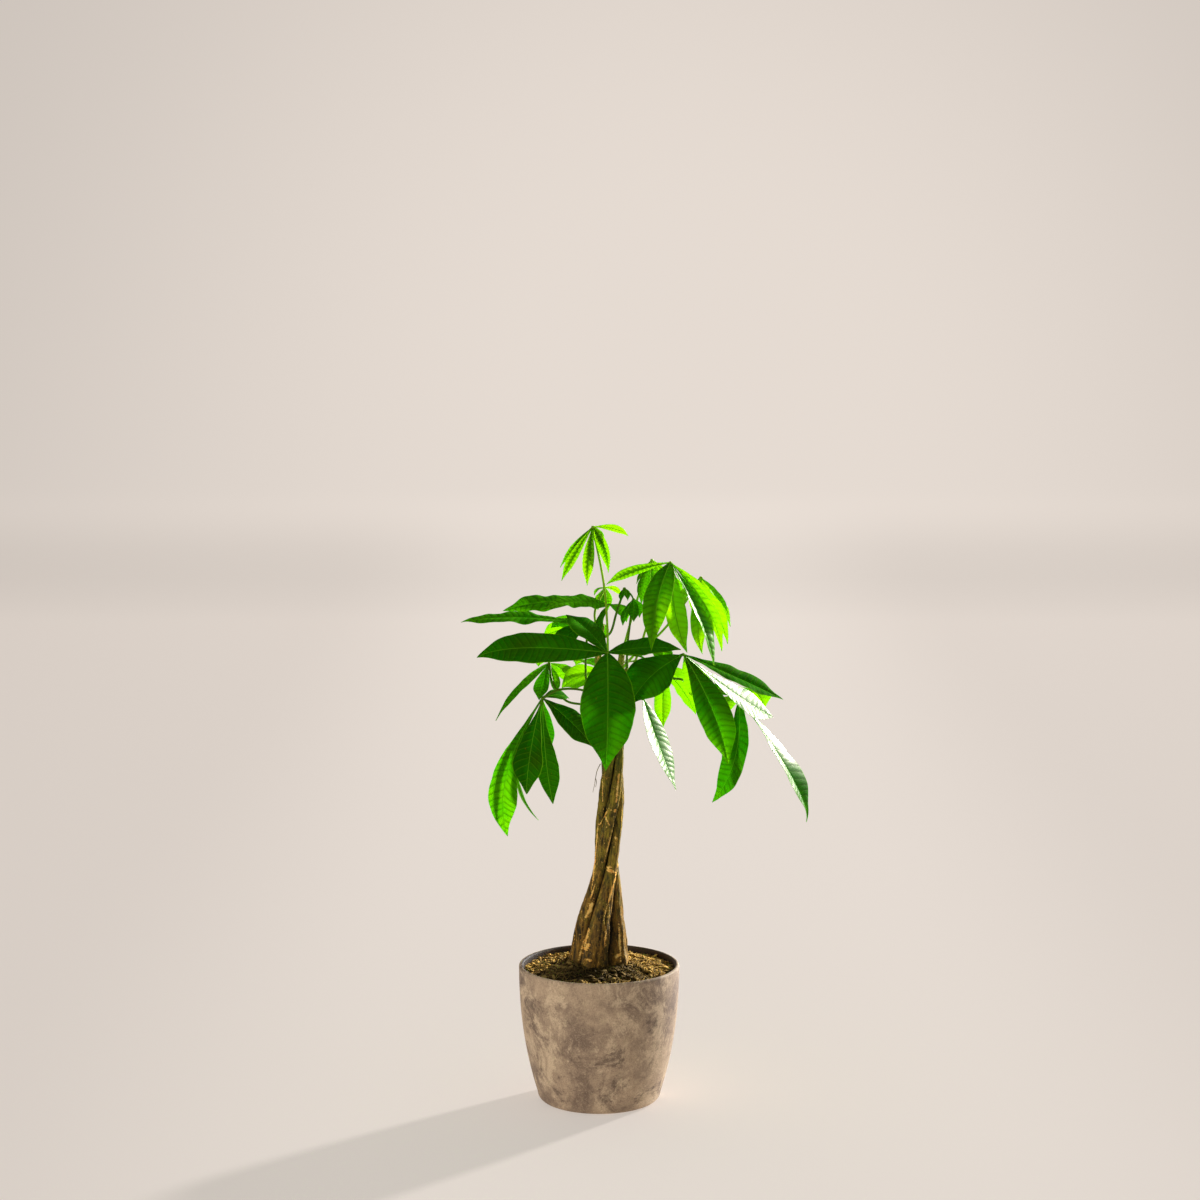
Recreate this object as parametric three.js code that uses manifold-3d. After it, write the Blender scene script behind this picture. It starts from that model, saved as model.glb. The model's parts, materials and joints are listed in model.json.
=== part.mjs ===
// A potted money tree: four stems twisted into one trunk, hand-shaped leaves on long stalks, soil and a pot.
// Millimetres, +Z up. The origin is the middle of the pot's foot, and the front of the plant faces -Y.
import * as THREE from "three";
import { mergeVertices } from "three/addons/utils/BufferGeometryUtils.js";
import Module from "manifold-3d";

const wasm = await Module();
wasm.setup();

// Driving dimensions of the pot and the soil.
const POT_HEIGHT = 155;
const RIM_RADIUS = 90;
const FOOT_RADIUS = 66.5;
const POT_BELLY = 2.2; // how soon the wall turns upright: the power of the side's curve
const WALL = 5;
const POT_FLOOR = 7;
const FOOT_ROUND = 9; // rounding at the foot's edge
const INSIDE_ROUND = 3; // bevel inside, where the wall meets the floor
const OUTSIDE_HEIGHTS = [25, 50, 80, 115]; // where the outside's facets meet
const INSIDE_HEIGHTS = [30, 60, 95, 125, 148];
const POT_FACETS = 40;
const SEAT_GAP = 0.3; // between a piece and the piece that carries it
const FACET_ROOM = 1.1; // factor on a gap between curved faces, as their facets come closer
const SOIL_EDGE = 148; // height of the soil at the wall
const SOIL_MOUND = 9; // how much higher it lies round the stems
const SOIL_LUMP = 1.3;
const MOUND_FROM = 0.3; // shares of the rim's radius between which the mound falls away
const MOUND_TO = 0.92;
const SOIL_RINGS = [0.85, 0.7, 0.52, 0.33, 0.15, 0]; // shares of the soil's radius
const HOLE_DEPTH = 55; // how deep the stems stand in the soil
const HOLE_ROOM = 1.2; // round a stem's end, as the stem leans in its hole
const HOLE_SIDES = 16;
const CORE_RADIUS = 8; // of the hollow between the four stems
const CORE_SIDES = 8;

// Driving dimensions of the twisted stems.
const STEM_SIDES = 10;
const TWIST_START = 157; // soil level at the trunk
const TWIST_END = 412; // where the stems part
const BASE_STEM_RADIUS = 12.7;
const MID_STEM_RADIUS = 5.7;
const TIP_STEM_RADIUS = 3.0;
const TAPER_FROM = 157;
const TAPER_TO = 280;
const THIN_FROM = 350;
const STEM_SPACING = 1.02; // factor on the radius, as the stems lean against each other
const STEM_STEPS = 24;
const STEM_POINT_EVERY = 15;
const STEM_TOP_SHARE = 0.6; // width of a stem's blunt top, of its last radius

// The trunk's middle line leans to the right: [height, x]. Its stems turn slowly at first: [height, degrees].
const TRUNK_LINE = [[157, -0.5], [206, 2], [245, 6.5], [302, 10], [341, 13.5], [379, 15], [412, 16]];
const TWIST = [[157, 0], [235, 28], [275, 65], [345, 128], [412, 188]];

// The stems: where each stands round the trunk at the soil, in degrees, and the points passed above the twist.
const STEMS = {
  stem_right: { turn: 163, above: [[25, -3, 450], [31, 0, 490]] },
  stem_back: { turn: 253, above: [[20, 15, 455], [25, 22, 503]] },
  stem_left: { turn: 343, above: [[2, 13, 462], [-1, 15, 500], [3, 13, 538]] },
  stem_front: { turn: 73, above: [[12, -9, 450], [12, -14, 484]] },
};

// Driving dimensions of a leaf.
const STALK_RADIUS = 1.3;
const STALK_END_RADIUS = 1.8; // the swelling at each end
const STALK_SIDES = 6;
const STALK_STEPS = 7;
const STALK_BITE = 2.2; // how deep a stalk's root sits in its stem
const STALK_MAX_SLOPE = 0.8; // rise of a stalk where it leaves the side of its stem
const TOP_ZONE = 8; // a stalk that starts this near its stem's top may rise straight up
const ROOT_SWELLING = 6; // one over the share of the stalk that swells at its root
const HUB_SWELLING = 9; // one over the share that swells at the hub
const HUB_RADIUS = 2.6;
const HUB_SIDES = 6;
const HUB_BANDS = 4;
const BLADE_THICK = 0.8;
const RIB_THICK = 1.6; // at the leaflet's foot
const BLADE_FOOT = 2.4; // width of a leaflet's foot
const BLADE_TIP = 0.8;
const BLADE_ROUNDNESS = 0.92; // power on the outline's sine: less is fuller
const RIB_SHARE = 3; // one over the share of a leaflet along which its rib thins
const BLADE_STATIONS = [0, 0.12, 0.32, 0.54, 0.74, 0.89, 1];

// The leaves. stem and root (a height) say where the stalk starts, via what it passes, hub where it ends.
// Of each leaflet, to is its tip from the hub, wide its full width, bow how far it arches outwards, sway how
// far to the left, and lean how far along it the bow pulls. roll is its turn in degrees with the right edge up
// as seen from the hub, and twist how much the roll grows from end to end. fold is the rise of its margins over
// its rib for each millimetre from the rib, and peak how far along it is widest.
const LEAVES = {
  leaf_crown: {
    stem: "stem_front",
    root: 480,
    via: [[10, -15, 500], [9, -15, 540], [5, -16, 587]],
    hub: [-7, -15, 649],
    leaflets: [
      { to: [39, 10, -11], wide: 12, bow: 4, roll: 42 },
      { to: [17, -20, -48], wide: 17, bow: 7, roll: -90, fold: 0.2, peak: 0.46 },
      { to: [-6, -30, -61], wide: 13, bow: 6 },
      { to: [-34, -20, -57], wide: 11.5, bow: 2, roll: 30 },
      { to: [-36, 20, -47], wide: 12, bow: 2, roll: 50 },
      { to: [8, 43, -32], wide: 13, bow: 8 },
    ],
  },
  leaf_upper_right: {
    stem: "stem_right",
    root: 476,
    via: [[41, -12, 503], [59, -15, 560]],
    hub: [78, -25, 611],
    leaflets: [
      { to: [-70, 15, -26], wide: 17, bow: 4, roll: -42 },
      { to: [-22, -77, -86], wide: 31, bow: 12, sway: -1.5, peak: 0.42 },
      { to: [-4, 30, -62], wide: 30, bow: 8, roll: -36 },
      { to: [18.5, -5, -99], wide: 26, bow: -5, roll: 78, peak: 0.5 },
      { to: [47, -30, -110], wide: 34, bow: 6, roll: 12, fold: 0.25 },
      { to: [57, 5, -99], wide: 26, bow: 10, roll: 28 },
      { to: [65, 40, -96], wide: 26, bow: 12, roll: 10 },
    ],
  },
  leaf_upper_back: {
    stem: "stem_back",
    root: 500,
    via: [[33, 30, 530], [45, 36, 570]],
    hub: [59, 42, 606],
    leaflets: [
      { to: [-12, -18, -47], wide: 15, bow: 4 },
      { to: [-17, 20, -29], wide: 7, bow: 2 },
      { to: [5, 65, -53], wide: 24, bow: 12 },
      { to: [36, 55, -52], wide: 20, bow: 4 },
      { to: [-4, 52, -60], wide: 20, bow: 6 },
    ],
  },
  leaf_far_right: {
    stem: "stem_back",
    root: 484,
    via: [[45, 20, 508], [66, 22, 524], [95, 34, 558]],
    hub: [114, 45, 586],
    leaflets: [
      { to: [30, -15, -39], wide: 13, bow: 3, roll: 50 },
      { to: [34, 18, -58], wide: 16, bow: 5 },
      { to: [1, -25, -83], wide: 17, bow: 4, roll: 10, sway: -5 },
      { to: [1, 70, -63], wide: 26, bow: 12 },
      { to: [-32, 35, -52], wide: 22, bow: 6 },
    ],
  },
  leaf_upper_left: {
    stem: "stem_left",
    root: 532,
    via: [[4, 9, 545]],
    hub: [9, 5, 560],
    leaflets: [
      { to: [-115, -10, -5], wide: 31, bow: 7, roll: 24, twist: 30, fold: 0 },
      { to: [-73, -50, 0], wide: 25, bow: 7, roll: 22, twist: -34, fold: 0.05, peak: 0.38 },
      { to: [-12, -6, -38], wide: 20, bow: 2 },
      { to: [22, 52, -26], wide: 22, bow: 8 },
    ],
  },
  leaf_mid_left: {
    stem: "stem_left",
    root: 452,
    via: [[-10, 18, 456], [-14.5, 20, 475], [-14.5, 20, 508]],
    hub: [-12, 20, 537],
    leaflets: [
      { to: [-141, -15, 4], wide: 34, bow: 6, roll: 13, fold: 0.02 },
      { to: [-42, 30, -9], wide: 20, bow: 6, roll: -38 },
      { to: [-52, 50, -21], wide: 24, bow: 2, roll: -46 },
      { to: [-35, -25, -28], wide: 28, bow: 6, roll: 20 },
      { to: [13, 65, -34], wide: 28, bow: 10 },
    ],
  },
  leaf_front: {
    stem: "stem_front",
    root: 462,
    via: [[13, -32, 475], [12, -60, 500]],
    hub: [9, -85, 520],
    leaflets: [
      { to: [-140, -15, -3], wide: 40, bow: 8.5, roll: 46, lean: 0.78, fold: 0.02, peak: 0.42 },
      { to: [-45, 40, 36], wide: 38, bow: 4, roll: 5, fold: 0.03, peak: 0.52 },
      { to: [-2, -40, -121], wide: 59, bow: 12, sway: 2, peak: 0.43 },
      { to: [79, -5, 4], wide: 36, bow: 4, roll: -22, peak: 0.45 },
      { to: [46, 50, -18], wide: 26, bow: 5, roll: -20 },
    ],
  },
  leaf_front_right: {
    stem: "stem_right",
    root: 462,
    via: [[45, -16, 480], [70, -32, 502]],
    hub: [92, -50, 513],
    leaflets: [
      { to: [-58, -42, -48], wide: 50, bow: 8, roll: 35 },
      { to: [47, -45, -113], wide: 38, bow: 6, roll: -30, sway: 3, peak: 0.54 },
      { to: [110, 20, -53], wide: 31, bow: 1, roll: -28, fold: 0.14 },
      { to: [101, 53, -78], wide: 38, bow: -3, roll: -44, lean: 0.7, fold: 0.02, peak: 0.68 },
      { to: [25, 65, -75], wide: 34, bow: 8 },
    ],
  },
  leaf_lower_right: {
    stem: "stem_back",
    root: 455,
    via: [[48, 24, 474], [100, 27, 472]],
    hub: [156, 25, 454],
    leaflets: [
      { to: [-30, -25, -115], wide: 38, bow: 10, roll: 0, sway: 29, peak: 0.53 },
      { to: [77, -10, -130], wide: 40, bow: 6, roll: -14, lean: 0.7, twist: -30, fold: 0.12 },
      { to: [-36, 30, 4], wide: 28, bow: 4, roll: 20 },
      { to: [35, 95, -29], wide: 36, bow: 14 },
      { to: [-20, 100, -46], wide: 32, bow: 10 },
    ],
  },
  leaf_under: {
    stem: "stem_right",
    root: 448,
    via: [[36, 0, 455]],
    hub: [49, 5, 455],
    leaflets: [
      { to: [36, -30, -97], wide: 42, bow: 0, roll: 12, sway: -2, twist: 15, fold: 0.12, peak: 0.46 },
      { to: [8, 55, -7], wide: 28, bow: 8 },
      { to: [-14, 66, -14], wide: 28, bow: 6 },
    ],
  },
  leaf_lower_left: {
    stem: "stem_front",
    root: 445,
    via: [[-6, -28, 462], [-17, -36, 471], [-44, -44, 473]],
    hub: [-62, -45, 464],
    leaflets: [
      { to: [-17, -20, -103], wide: 42, bow: 5, peak: 0.64 },
      { to: [-39, 10, -156], wide: 42, bow: 18, roll: 65, lean: 0.66, fold: 0.04, peak: 0.67 },
      { to: [11, 25, -123], wide: 28, bow: 4, sway: 5, peak: 0.66 },
      { to: [56, -15, -52], wide: 33, bow: 3, roll: -35 },
      { to: [29, 22, -4], wide: 18, bow: 4, roll: -30 },
      { to: [8, 45, -69], wide: 19, bow: 4, sway: 3 },
      { to: [-6, 53, -147], wide: 14, bow: 4, roll: 75, sway: 26 },
    ],
  },
  leaf_left_behind: {
    stem: "stem_left",
    root: 436,
    via: [[-12, 6, 447], [-36, 8, 452], [-52, 25, 470]],
    hub: [-56, 40, 490],
    leaflets: [
      { to: [-60, -10, -64], wide: 12, bow: 5, roll: 30, peak: 0.36 },
      { to: [-11, -25, -38], wide: 19, bow: 3, peak: 0.62 },
      { to: [8, -12, -34], wide: 13, bow: 3 },
      { to: [-14, 80, -16], wide: 26, bow: 8 },
      { to: [25, 75, -40], wide: 30, bow: 8 },
    ],
  },
  leaf_back_left: {
    stem: "stem_back",
    root: 462,
    via: [[15, 32, 468]],
    hub: [8, 50, 478],
    leaflets: [
      { to: [-50, -5, -17], wide: 36, bow: 5, roll: -54 },
      { to: [-35, 60, -1], wide: 30, bow: 8 },
      { to: [-7, 75, -33], wide: 32, bow: 8 },
      { to: [25, 60, -30], wide: 28, bow: 8 },
    ],
  },
  leaf_bud_left: {
    stem: "stem_left",
    root: 520,
    via: [[12, 9, 528], [19, 8, 550]],
    hub: [28, 10, 578],
    leaflets: [
      { to: [-4, -8, -13], wide: 7, bow: 2 },
      { to: [10, 2, -15], wide: 7, bow: 2 },
      { to: [4, 20, -16], wide: 8, bow: 3 },
    ],
  },
  leaf_bud_right: {
    stem: "stem_right",
    root: 489,
    via: [[31, 2, 510], [34, -2, 540]],
    hub: [38, -5, 568],
    leaflets: [
      { to: [-12, -10, -28], wide: 12, bow: 3 },
      { to: [0, -17, -23], wide: 12, bow: 4 },
      { to: [12, 4, -16], wide: 10, bow: 3 },
      { to: [7, 25, -24], wide: 12, bow: 4 },
    ],
  },
  leaf_small: {
    stem: "stem_left",
    root: 524,
    via: [[-5, 19, 548]],
    hub: [6.5, 35, 576],
    leaflets: [
      { to: [19, -10, -8], wide: 9, bow: 3, roll: 60 },
      { to: [-12, -6, -8], wide: 9, bow: 3 },
      { to: [-8, 20, -28], wide: 12, bow: 3 },
      { to: [3, 28, -30], wide: 12, bow: 4 },
    ],
  },
  leaf_back_right: {
    stem: "stem_back",
    root: 494,
    via: [[40, 42, 492], [60, 60, 490]],
    hub: [74, 75, 479],
    leaflets: [
      { to: [-1, 10, -71], wide: 20, bow: 8 },
      { to: [36, 5, -54], wide: 24, bow: 3, roll: 38 },
      { to: [-4, 20, 22], wide: 24, bow: 3 },
      { to: [16, 75, -37], wide: 32, bow: 10 },
      { to: [-20, 65, -36], wide: 30, bow: 8 },
    ],
  },
};

const UP = new THREE.Vector3(0, 0, 1);
const WELD = 1e-4; // points nearer than this are one
const HALVINGS = 30; // of a curve, to find a height on it
const vector = ([x, y, z]) => new THREE.Vector3(x, y, z);

// A closed geometry as a solid, and a solid as a geometry.
function solidOf(geometry) {
  const flat = new THREE.BufferGeometry().setAttribute("position", geometry.getAttribute("position"));
  if (geometry.index) flat.setIndex(geometry.index);
  const merged = mergeVertices(flat, WELD);
  return new wasm.Manifold(
    new wasm.Mesh({
      numProp: 3,
      vertProperties: new Float32Array(merged.getAttribute("position").array),
      triVerts: new Uint32Array(merged.index.array),
    }),
  );
}

function geometryOf(solid) {
  const mesh = solid.getMesh();
  const geometry = new THREE.BufferGeometry();
  geometry.setAttribute("position", new THREE.BufferAttribute(new Float32Array(mesh.vertProperties), 3));
  geometry.setIndex(new THREE.BufferAttribute(new Uint32Array(mesh.triVerts), 1));
  geometry.computeVertexNormals();
  return geometry;
}

const fuse = (solids) => solids.reduce((whole, next) => whole.add(next));

// A closed skin over rings of points: each ring has the same number of points, and both ends are fans.
function skin(rings) {
  const around = rings[0].length;
  const first = rings.length * around;
  const middle = (ring) => ring.reduce((sum, p) => sum.add(p), new THREE.Vector3()).divideScalar(around);
  const points = [...rings.flat(), middle(rings[0]), middle(rings[rings.length - 1])];
  const faces = [];
  for (let i = 0; i + 1 < rings.length; i++)
    for (let j = 0; j < around; j++) {
      const [a, b] = [i * around + j, i * around + ((j + 1) % around)];
      faces.push(a, b, b + around, a, b + around, a + around);
    }
  const last = (rings.length - 1) * around;
  for (let j = 0; j < around; j++) {
    const next = (j + 1) % around;
    faces.push(first, next, j, first + 1, last + j, last + next);
  }
  return new THREE.BufferGeometry().setFromPoints(points).setIndex(faces);
}

// A round tube along a curve, with its radius given by how far along it is. Its first end can be drawn back.
function tube(curve, radiusAt, sides, steps, back = 0) {
  const frames = curve.computeFrenetFrames(steps, false);
  const rings = [];
  for (let i = 0; i <= steps; i++) {
    const share = i / steps;
    const centre = curve.getPointAt(share);
    if (i === 0) centre.addScaledVector(frames.tangents[0], -back);
    const ring = [];
    for (let j = 0; j < sides; j++) {
      const angle = (2 * Math.PI * j) / sides;
      ring.push(
        centre
          .clone()
          .addScaledVector(frames.normals[i], radiusAt(share, centre) * Math.cos(angle))
          .addScaledVector(frames.binormals[i], radiusAt(share, centre) * Math.sin(angle)),
      );
    }
    rings.push(ring);
  }
  return skin(rings);
}

// The pot. Its side leans out from the foot and turns upright towards the rim.
const wallRadius = (height) =>
  FOOT_RADIUS + (RIM_RADIUS - FOOT_RADIUS) * (1 - (1 - height / POT_HEIGHT) ** POT_BELLY);

function lathe(profile, segments) {
  const points = profile.map(([radius, height]) => new THREE.Vector2(radius, height));
  return new THREE.LatheGeometry(points, segments).rotateX(Math.PI / 2);
}

function pot() {
  const outside = OUTSIDE_HEIGHTS.map((height) => [wallRadius(height), height]);
  const inside = INSIDE_HEIGHTS.map((height) => [wallRadius(height) - WALL, height]).reverse();
  const lip = WALL / 2;
  const foot = wallRadius(FOOT_ROUND);
  const rounding = [0, 30, 60, 90].map(THREE.MathUtils.degToRad).map((angle) => [
    foot - FOOT_ROUND * (1 - Math.sin(angle)),
    FOOT_ROUND * (1 - Math.cos(angle)),
  ]);
  const rim = [0, 45, 90, 135, 180].map(THREE.MathUtils.degToRad).map((angle) => [
    RIM_RADIUS - lip + lip * Math.cos(angle),
    POT_HEIGHT - lip + lip * Math.sin(angle),
  ]);
  const floor = [[foot - WALL - INSIDE_ROUND, POT_FLOOR], [0, POT_FLOOR]];
  return lathe([[0, 0], ...rounding, ...outside, ...rim, ...inside, ...floor], POT_FACETS);
}

// The trunk's middle line and the stems that wind round it.
function along(line, height) {
  const above = line.findIndex(([z]) => z >= height);
  if (above < 0) return line[line.length - 1][1];
  if (above === 0) return line[0][1];
  const [z0, value0] = line[above - 1];
  const [z1, value1] = line[above];
  return THREE.MathUtils.mapLinear(height, z0, z1, value0, value1);
}

function stemRadius(height, top) {
  const tapered = THREE.MathUtils.smoothstep(height, TAPER_FROM, TAPER_TO);
  const radius = THREE.MathUtils.lerp(BASE_STEM_RADIUS, MID_STEM_RADIUS, tapered);
  const thinned = THREE.MathUtils.clamp((height - THIN_FROM) / (top - THIN_FROM), 0, 1);
  return THREE.MathUtils.lerp(radius, TIP_STEM_RADIUS, thinned);
}

function stemCurve({ turn, above }) {
  const top = above[above.length - 1][2];
  const points = [];
  for (let height = TWIST_START - HOLE_DEPTH; height <= TWIST_END; height += STEM_POINT_EVERY) {
    const angle = THREE.MathUtils.degToRad(turn + along(TWIST, height));
    const spread = Math.SQRT2 * (stemRadius(height, top) * STEM_SPACING + SEAT_GAP);
    const x = along(TRUNK_LINE, height) + spread * Math.cos(angle);
    points.push(new THREE.Vector3(x, spread * Math.sin(angle), height));
  }
  return new THREE.CatmullRomCurve3([...points, ...above.map(vector)], false, "centripetal");
}

function stem(curve) {
  const top = curve.points[curve.points.length - 1].z;
  const blunt = (share) => (share < 1 ? 1 : STEM_TOP_SHARE);
  return tube(curve, (share, at) => stemRadius(at.z, top) * blunt(share), STEM_SIDES, STEM_STEPS);
}

// The soil: a low mound with lumps, filling the pot, with holes for the stems that run into each other.
function soilHeight(x, y) {
  const out = Math.hypot(x, y) / RIM_RADIUS;
  const mound = SOIL_MOUND * (1 - THREE.MathUtils.smoothstep(out, MOUND_FROM, MOUND_TO));
  const lumps = Math.sin(x / 6.1 + 1.3) * Math.cos(y / 7.3) + 0.6 * Math.sin((x + y) / 3.7);
  return SOIL_EDGE + mound + SOIL_LUMP * lumps * (1 - out ** 6);
}

function soil(stems) {
  const wall = (height) => wallRadius(height) - WALL - SEAT_GAP * FACET_ROOM;
  const radius = wall(SOIL_EDGE);
  const bottom = POT_FLOOR + SEAT_GAP;
  const floor = [[0, bottom], [wall(FOOT_ROUND) - INSIDE_ROUND, bottom]];
  const side = INSIDE_HEIGHTS.map((height) => [wall(height), height]);
  const surface = SOIL_RINGS.map((share) => [share * radius, SOIL_EDGE]);
  const geometry = lathe([...floor, ...side, ...surface], POT_FACETS);
  const position = geometry.getAttribute("position");
  for (let i = 0; i < position.count; i++) {
    const [x, y, z] = [position.getX(i), position.getY(i), position.getZ(i)];
    const onSurface = z > SOIL_EDGE - SEAT_GAP && Math.hypot(x, y) < radius - SEAT_GAP;
    if (onSurface) position.setZ(i, soilHeight(x, y));
  }
  const hole = (x, y, size, sides) => {
    const bore = new THREE.CylinderGeometry(size, size, 2 * HOLE_DEPTH, sides).rotateX(Math.PI / 2);
    return solidOf(bore.translate(x, y, TWIST_START - SEAT_GAP));
  };
  const holes = stems.map((curve) => {
    const { x, y } = curve.getPointAt(0);
    return hole(x, y, BASE_STEM_RADIUS + HOLE_ROOM, HOLE_SIDES);
  });
  holes.push(hole(along(TRUNK_LINE, TWIST_START), 0, CORE_RADIUS, CORE_SIDES));
  return geometryOf(solidOf(geometry).subtract(fuse(holes)));
}

// A leaflet: a thin folded blade round a bowed middle line, widest past its middle, with a drawn-out tip.
function bladeWidth(share, width, peak) {
  const outline = Math.sin(Math.PI * share ** (Math.log(0.5) / Math.log(peak))) ** BLADE_ROUNDNESS;
  const least = THREE.MathUtils.lerp(BLADE_FOOT, BLADE_TIP, share);
  return Math.max(width * outline, least);
}

function blade(hub, leaflet) {
  const { to, wide, bow = 8, roll = 0, sway = 0, lean = 0.6, twist = 0, fold = 0.1, peak = 0.56 } = leaflet;
  const reach = vector(to);
  const heading = new THREE.Vector3(to[0], to[1], 0).normalize();
  const left = new THREE.Vector3().crossVectors(UP, heading);
  const outwards = new THREE.Vector3().crossVectors(reach.clone().normalize(), left);
  const pull = reach.clone().multiplyScalar(lean);
  pull.addScaledVector(outwards, 2 * bow).addScaledVector(left, 2 * sway);
  const line = new THREE.QuadraticBezierCurve3(hub, hub.clone().add(pull), hub.clone().add(reach));
  const rings = BLADE_STATIONS.map((share) => {
    const centre = line.getPoint(share);
    const tangent = line.getTangent(share);
    const side = left.clone().addScaledVector(tangent, -left.dot(tangent)).normalize();
    side.applyAxisAngle(tangent, THREE.MathUtils.degToRad(-roll - twist * (share - 0.5)));
    const face = new THREE.Vector3().crossVectors(tangent, side);
    const half = bladeWidth(share, wide, peak) / 2;
    const thick = THREE.MathUtils.lerp(RIB_THICK, BLADE_THICK, Math.min(1, share * RIB_SHARE)) / 2;
    const at = (across, up) => {
      const rise = up + fold * Math.abs(across) * half;
      return centre.clone().addScaledVector(side, across * half).addScaledVector(face, rise);
    };
    return [at(-1, -thick), at(0, -thick), at(1, -thick), at(1, thick), at(0, thick), at(-1, thick)];
  });
  return skin(rings);
}

function leaf({ root, via, hub, leaflets }, stemLine) {
  const top = stemLine.points[stemLine.points.length - 1].z;
  const seat = pointAtHeight(stemLine, root);
  const way = vector(via[0]).sub(seat);
  if (root < top - TOP_ZONE) way.z = Math.min(way.z, Math.hypot(way.x, way.y) * STALK_MAX_SLOPE);
  const start = seat.addScaledVector(way.normalize(), stemRadius(root, top) - STALK_BITE);
  const curve = new THREE.CatmullRomCurve3([start, ...via.map(vector), vector(hub)], false, "centripetal");
  const swelling = (share) => Math.max(1 - share * ROOT_SWELLING, 1 - (1 - share) * HUB_SWELLING, 0);
  const radius = (share) => THREE.MathUtils.lerp(STALK_RADIUS, STALK_END_RADIUS, swelling(share));
  const stalk = tube(curve, radius, STALK_SIDES, STALK_STEPS);
  const roomy = (share) => radius(share) + SEAT_GAP * FACET_ROOM;
  const socket = tube(curve, roomy, STALK_SIDES, STALK_STEPS, SEAT_GAP);
  const ball = new THREE.SphereGeometry(HUB_RADIUS, HUB_SIDES, HUB_BANDS).translate(...hub);
  const blades = leaflets.map((leaflet) => solidOf(blade(vector(hub), leaflet)));
  return { solid: fuse([solidOf(stalk), solidOf(ball), ...blades]), socket: solidOf(socket) };
}

function pointAtHeight(curve, height) {
  let [low, high] = [0, 1];
  for (let i = 0; i < HALVINGS; i++) {
    const middle = (low + high) / 2;
    if (curve.getPointAt(middle).z < height) low = middle;
    else high = middle;
  }
  return curve.getPointAt(low);
}

// Materials, and the assembly.
const finish = (color, roughness) => new THREE.MeshStandardMaterial({ color, roughness, metalness: 0 });
const STONE = finish("#8d7560", 0.75);
const EARTH = finish("#4a3a20", 0.95);
const BARK = finish("#6b5a2c", 0.8);
const GREEN = finish("#2f7a14", 0.45);

const plant = new THREE.Group();

function add(name, geometry, material) {
  const mesh = new THREE.Mesh(geometry, material);
  mesh.name = name;
  plant.add(mesh);
}

const stemLines = {};
const stemSolids = {};
for (const [name, spec] of Object.entries(STEMS)) {
  stemLines[name] = stemCurve(spec);
  stemSolids[name] = solidOf(stem(stemLines[name]));
}

add("pot", pot(), STONE);
add("soil", soil(Object.values(stemLines)), EARTH);
for (const [name, spec] of Object.entries(LEAVES)) {
  const { solid, socket } = leaf(spec, stemLines[spec.stem]);
  stemSolids[spec.stem] = stemSolids[spec.stem].subtract(socket);
  add(name, geometryOf(solid), GREEN);
}
for (const [name, solid] of Object.entries(stemSolids)) add(name, geometryOf(solid), BARK);

export default plant;
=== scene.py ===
"""A potted money tree: leaves, twisted stems, soil and a stone-look pot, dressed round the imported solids.

Lengths are in millimetres, as in the part's source, but in metres in materials, stage, lights and camera.
The plant's front faces -Y.
"""
import json
import math
from types import SimpleNamespace

import bpy
import numpy as np
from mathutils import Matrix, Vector, noise

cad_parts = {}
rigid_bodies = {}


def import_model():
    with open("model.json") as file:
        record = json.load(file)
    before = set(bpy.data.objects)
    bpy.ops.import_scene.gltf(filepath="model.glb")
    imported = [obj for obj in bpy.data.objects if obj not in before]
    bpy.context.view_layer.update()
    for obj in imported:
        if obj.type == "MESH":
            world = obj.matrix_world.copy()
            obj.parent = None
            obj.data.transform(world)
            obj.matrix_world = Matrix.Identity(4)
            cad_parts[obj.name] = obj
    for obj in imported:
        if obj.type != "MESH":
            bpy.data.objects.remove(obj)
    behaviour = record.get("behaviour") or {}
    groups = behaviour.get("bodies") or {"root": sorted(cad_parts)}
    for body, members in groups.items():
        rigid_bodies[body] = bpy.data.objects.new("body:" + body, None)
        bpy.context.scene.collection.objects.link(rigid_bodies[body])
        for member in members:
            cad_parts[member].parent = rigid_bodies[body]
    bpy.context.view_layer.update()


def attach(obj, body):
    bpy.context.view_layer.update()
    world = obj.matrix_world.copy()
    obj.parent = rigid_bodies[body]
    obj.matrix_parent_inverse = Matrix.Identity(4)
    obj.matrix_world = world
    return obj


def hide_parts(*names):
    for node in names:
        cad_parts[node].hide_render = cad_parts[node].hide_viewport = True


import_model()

MM = 0.001
FULL_TURN = 2 * math.pi

# Camera, from the ellipses of the pot's rim and foot. It looks down by so many degrees.
CAMERA_AT = (0.00095, -3.067, 0.9596)
CAMERA_DOWN = 7.307
CAMERA_LENS = 84
CAMERA_SENSOR = 36

# The window's light comes from behind on the right, 17 degrees up. Some leaves stand in it, shaded by
# nothing but each other. The soft lamps aim at the middle of the plant.
SUN_FROM = (0.676, 0.676, 0.292)
OPEN_LEAVES = ("leaf_under", "leaf_small", "leaf_lower_left")
FILL_AIM = (0, 0, 0.3)

# The stage in metres: how far the floor reaches, and the bend up into the wall.
FLOOR_FRONT = -8.0
FLOOR_BACK = 4.0
FLOOR_SIDE = 12.0
FLOOR_BEND = 3.0
FLOOR_TOP = 9.0

# How much light goes through a face of a dark and of a lime blade.
THROUGH_DARK = 0.15
THROUGH_LIME = 0.62

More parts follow.
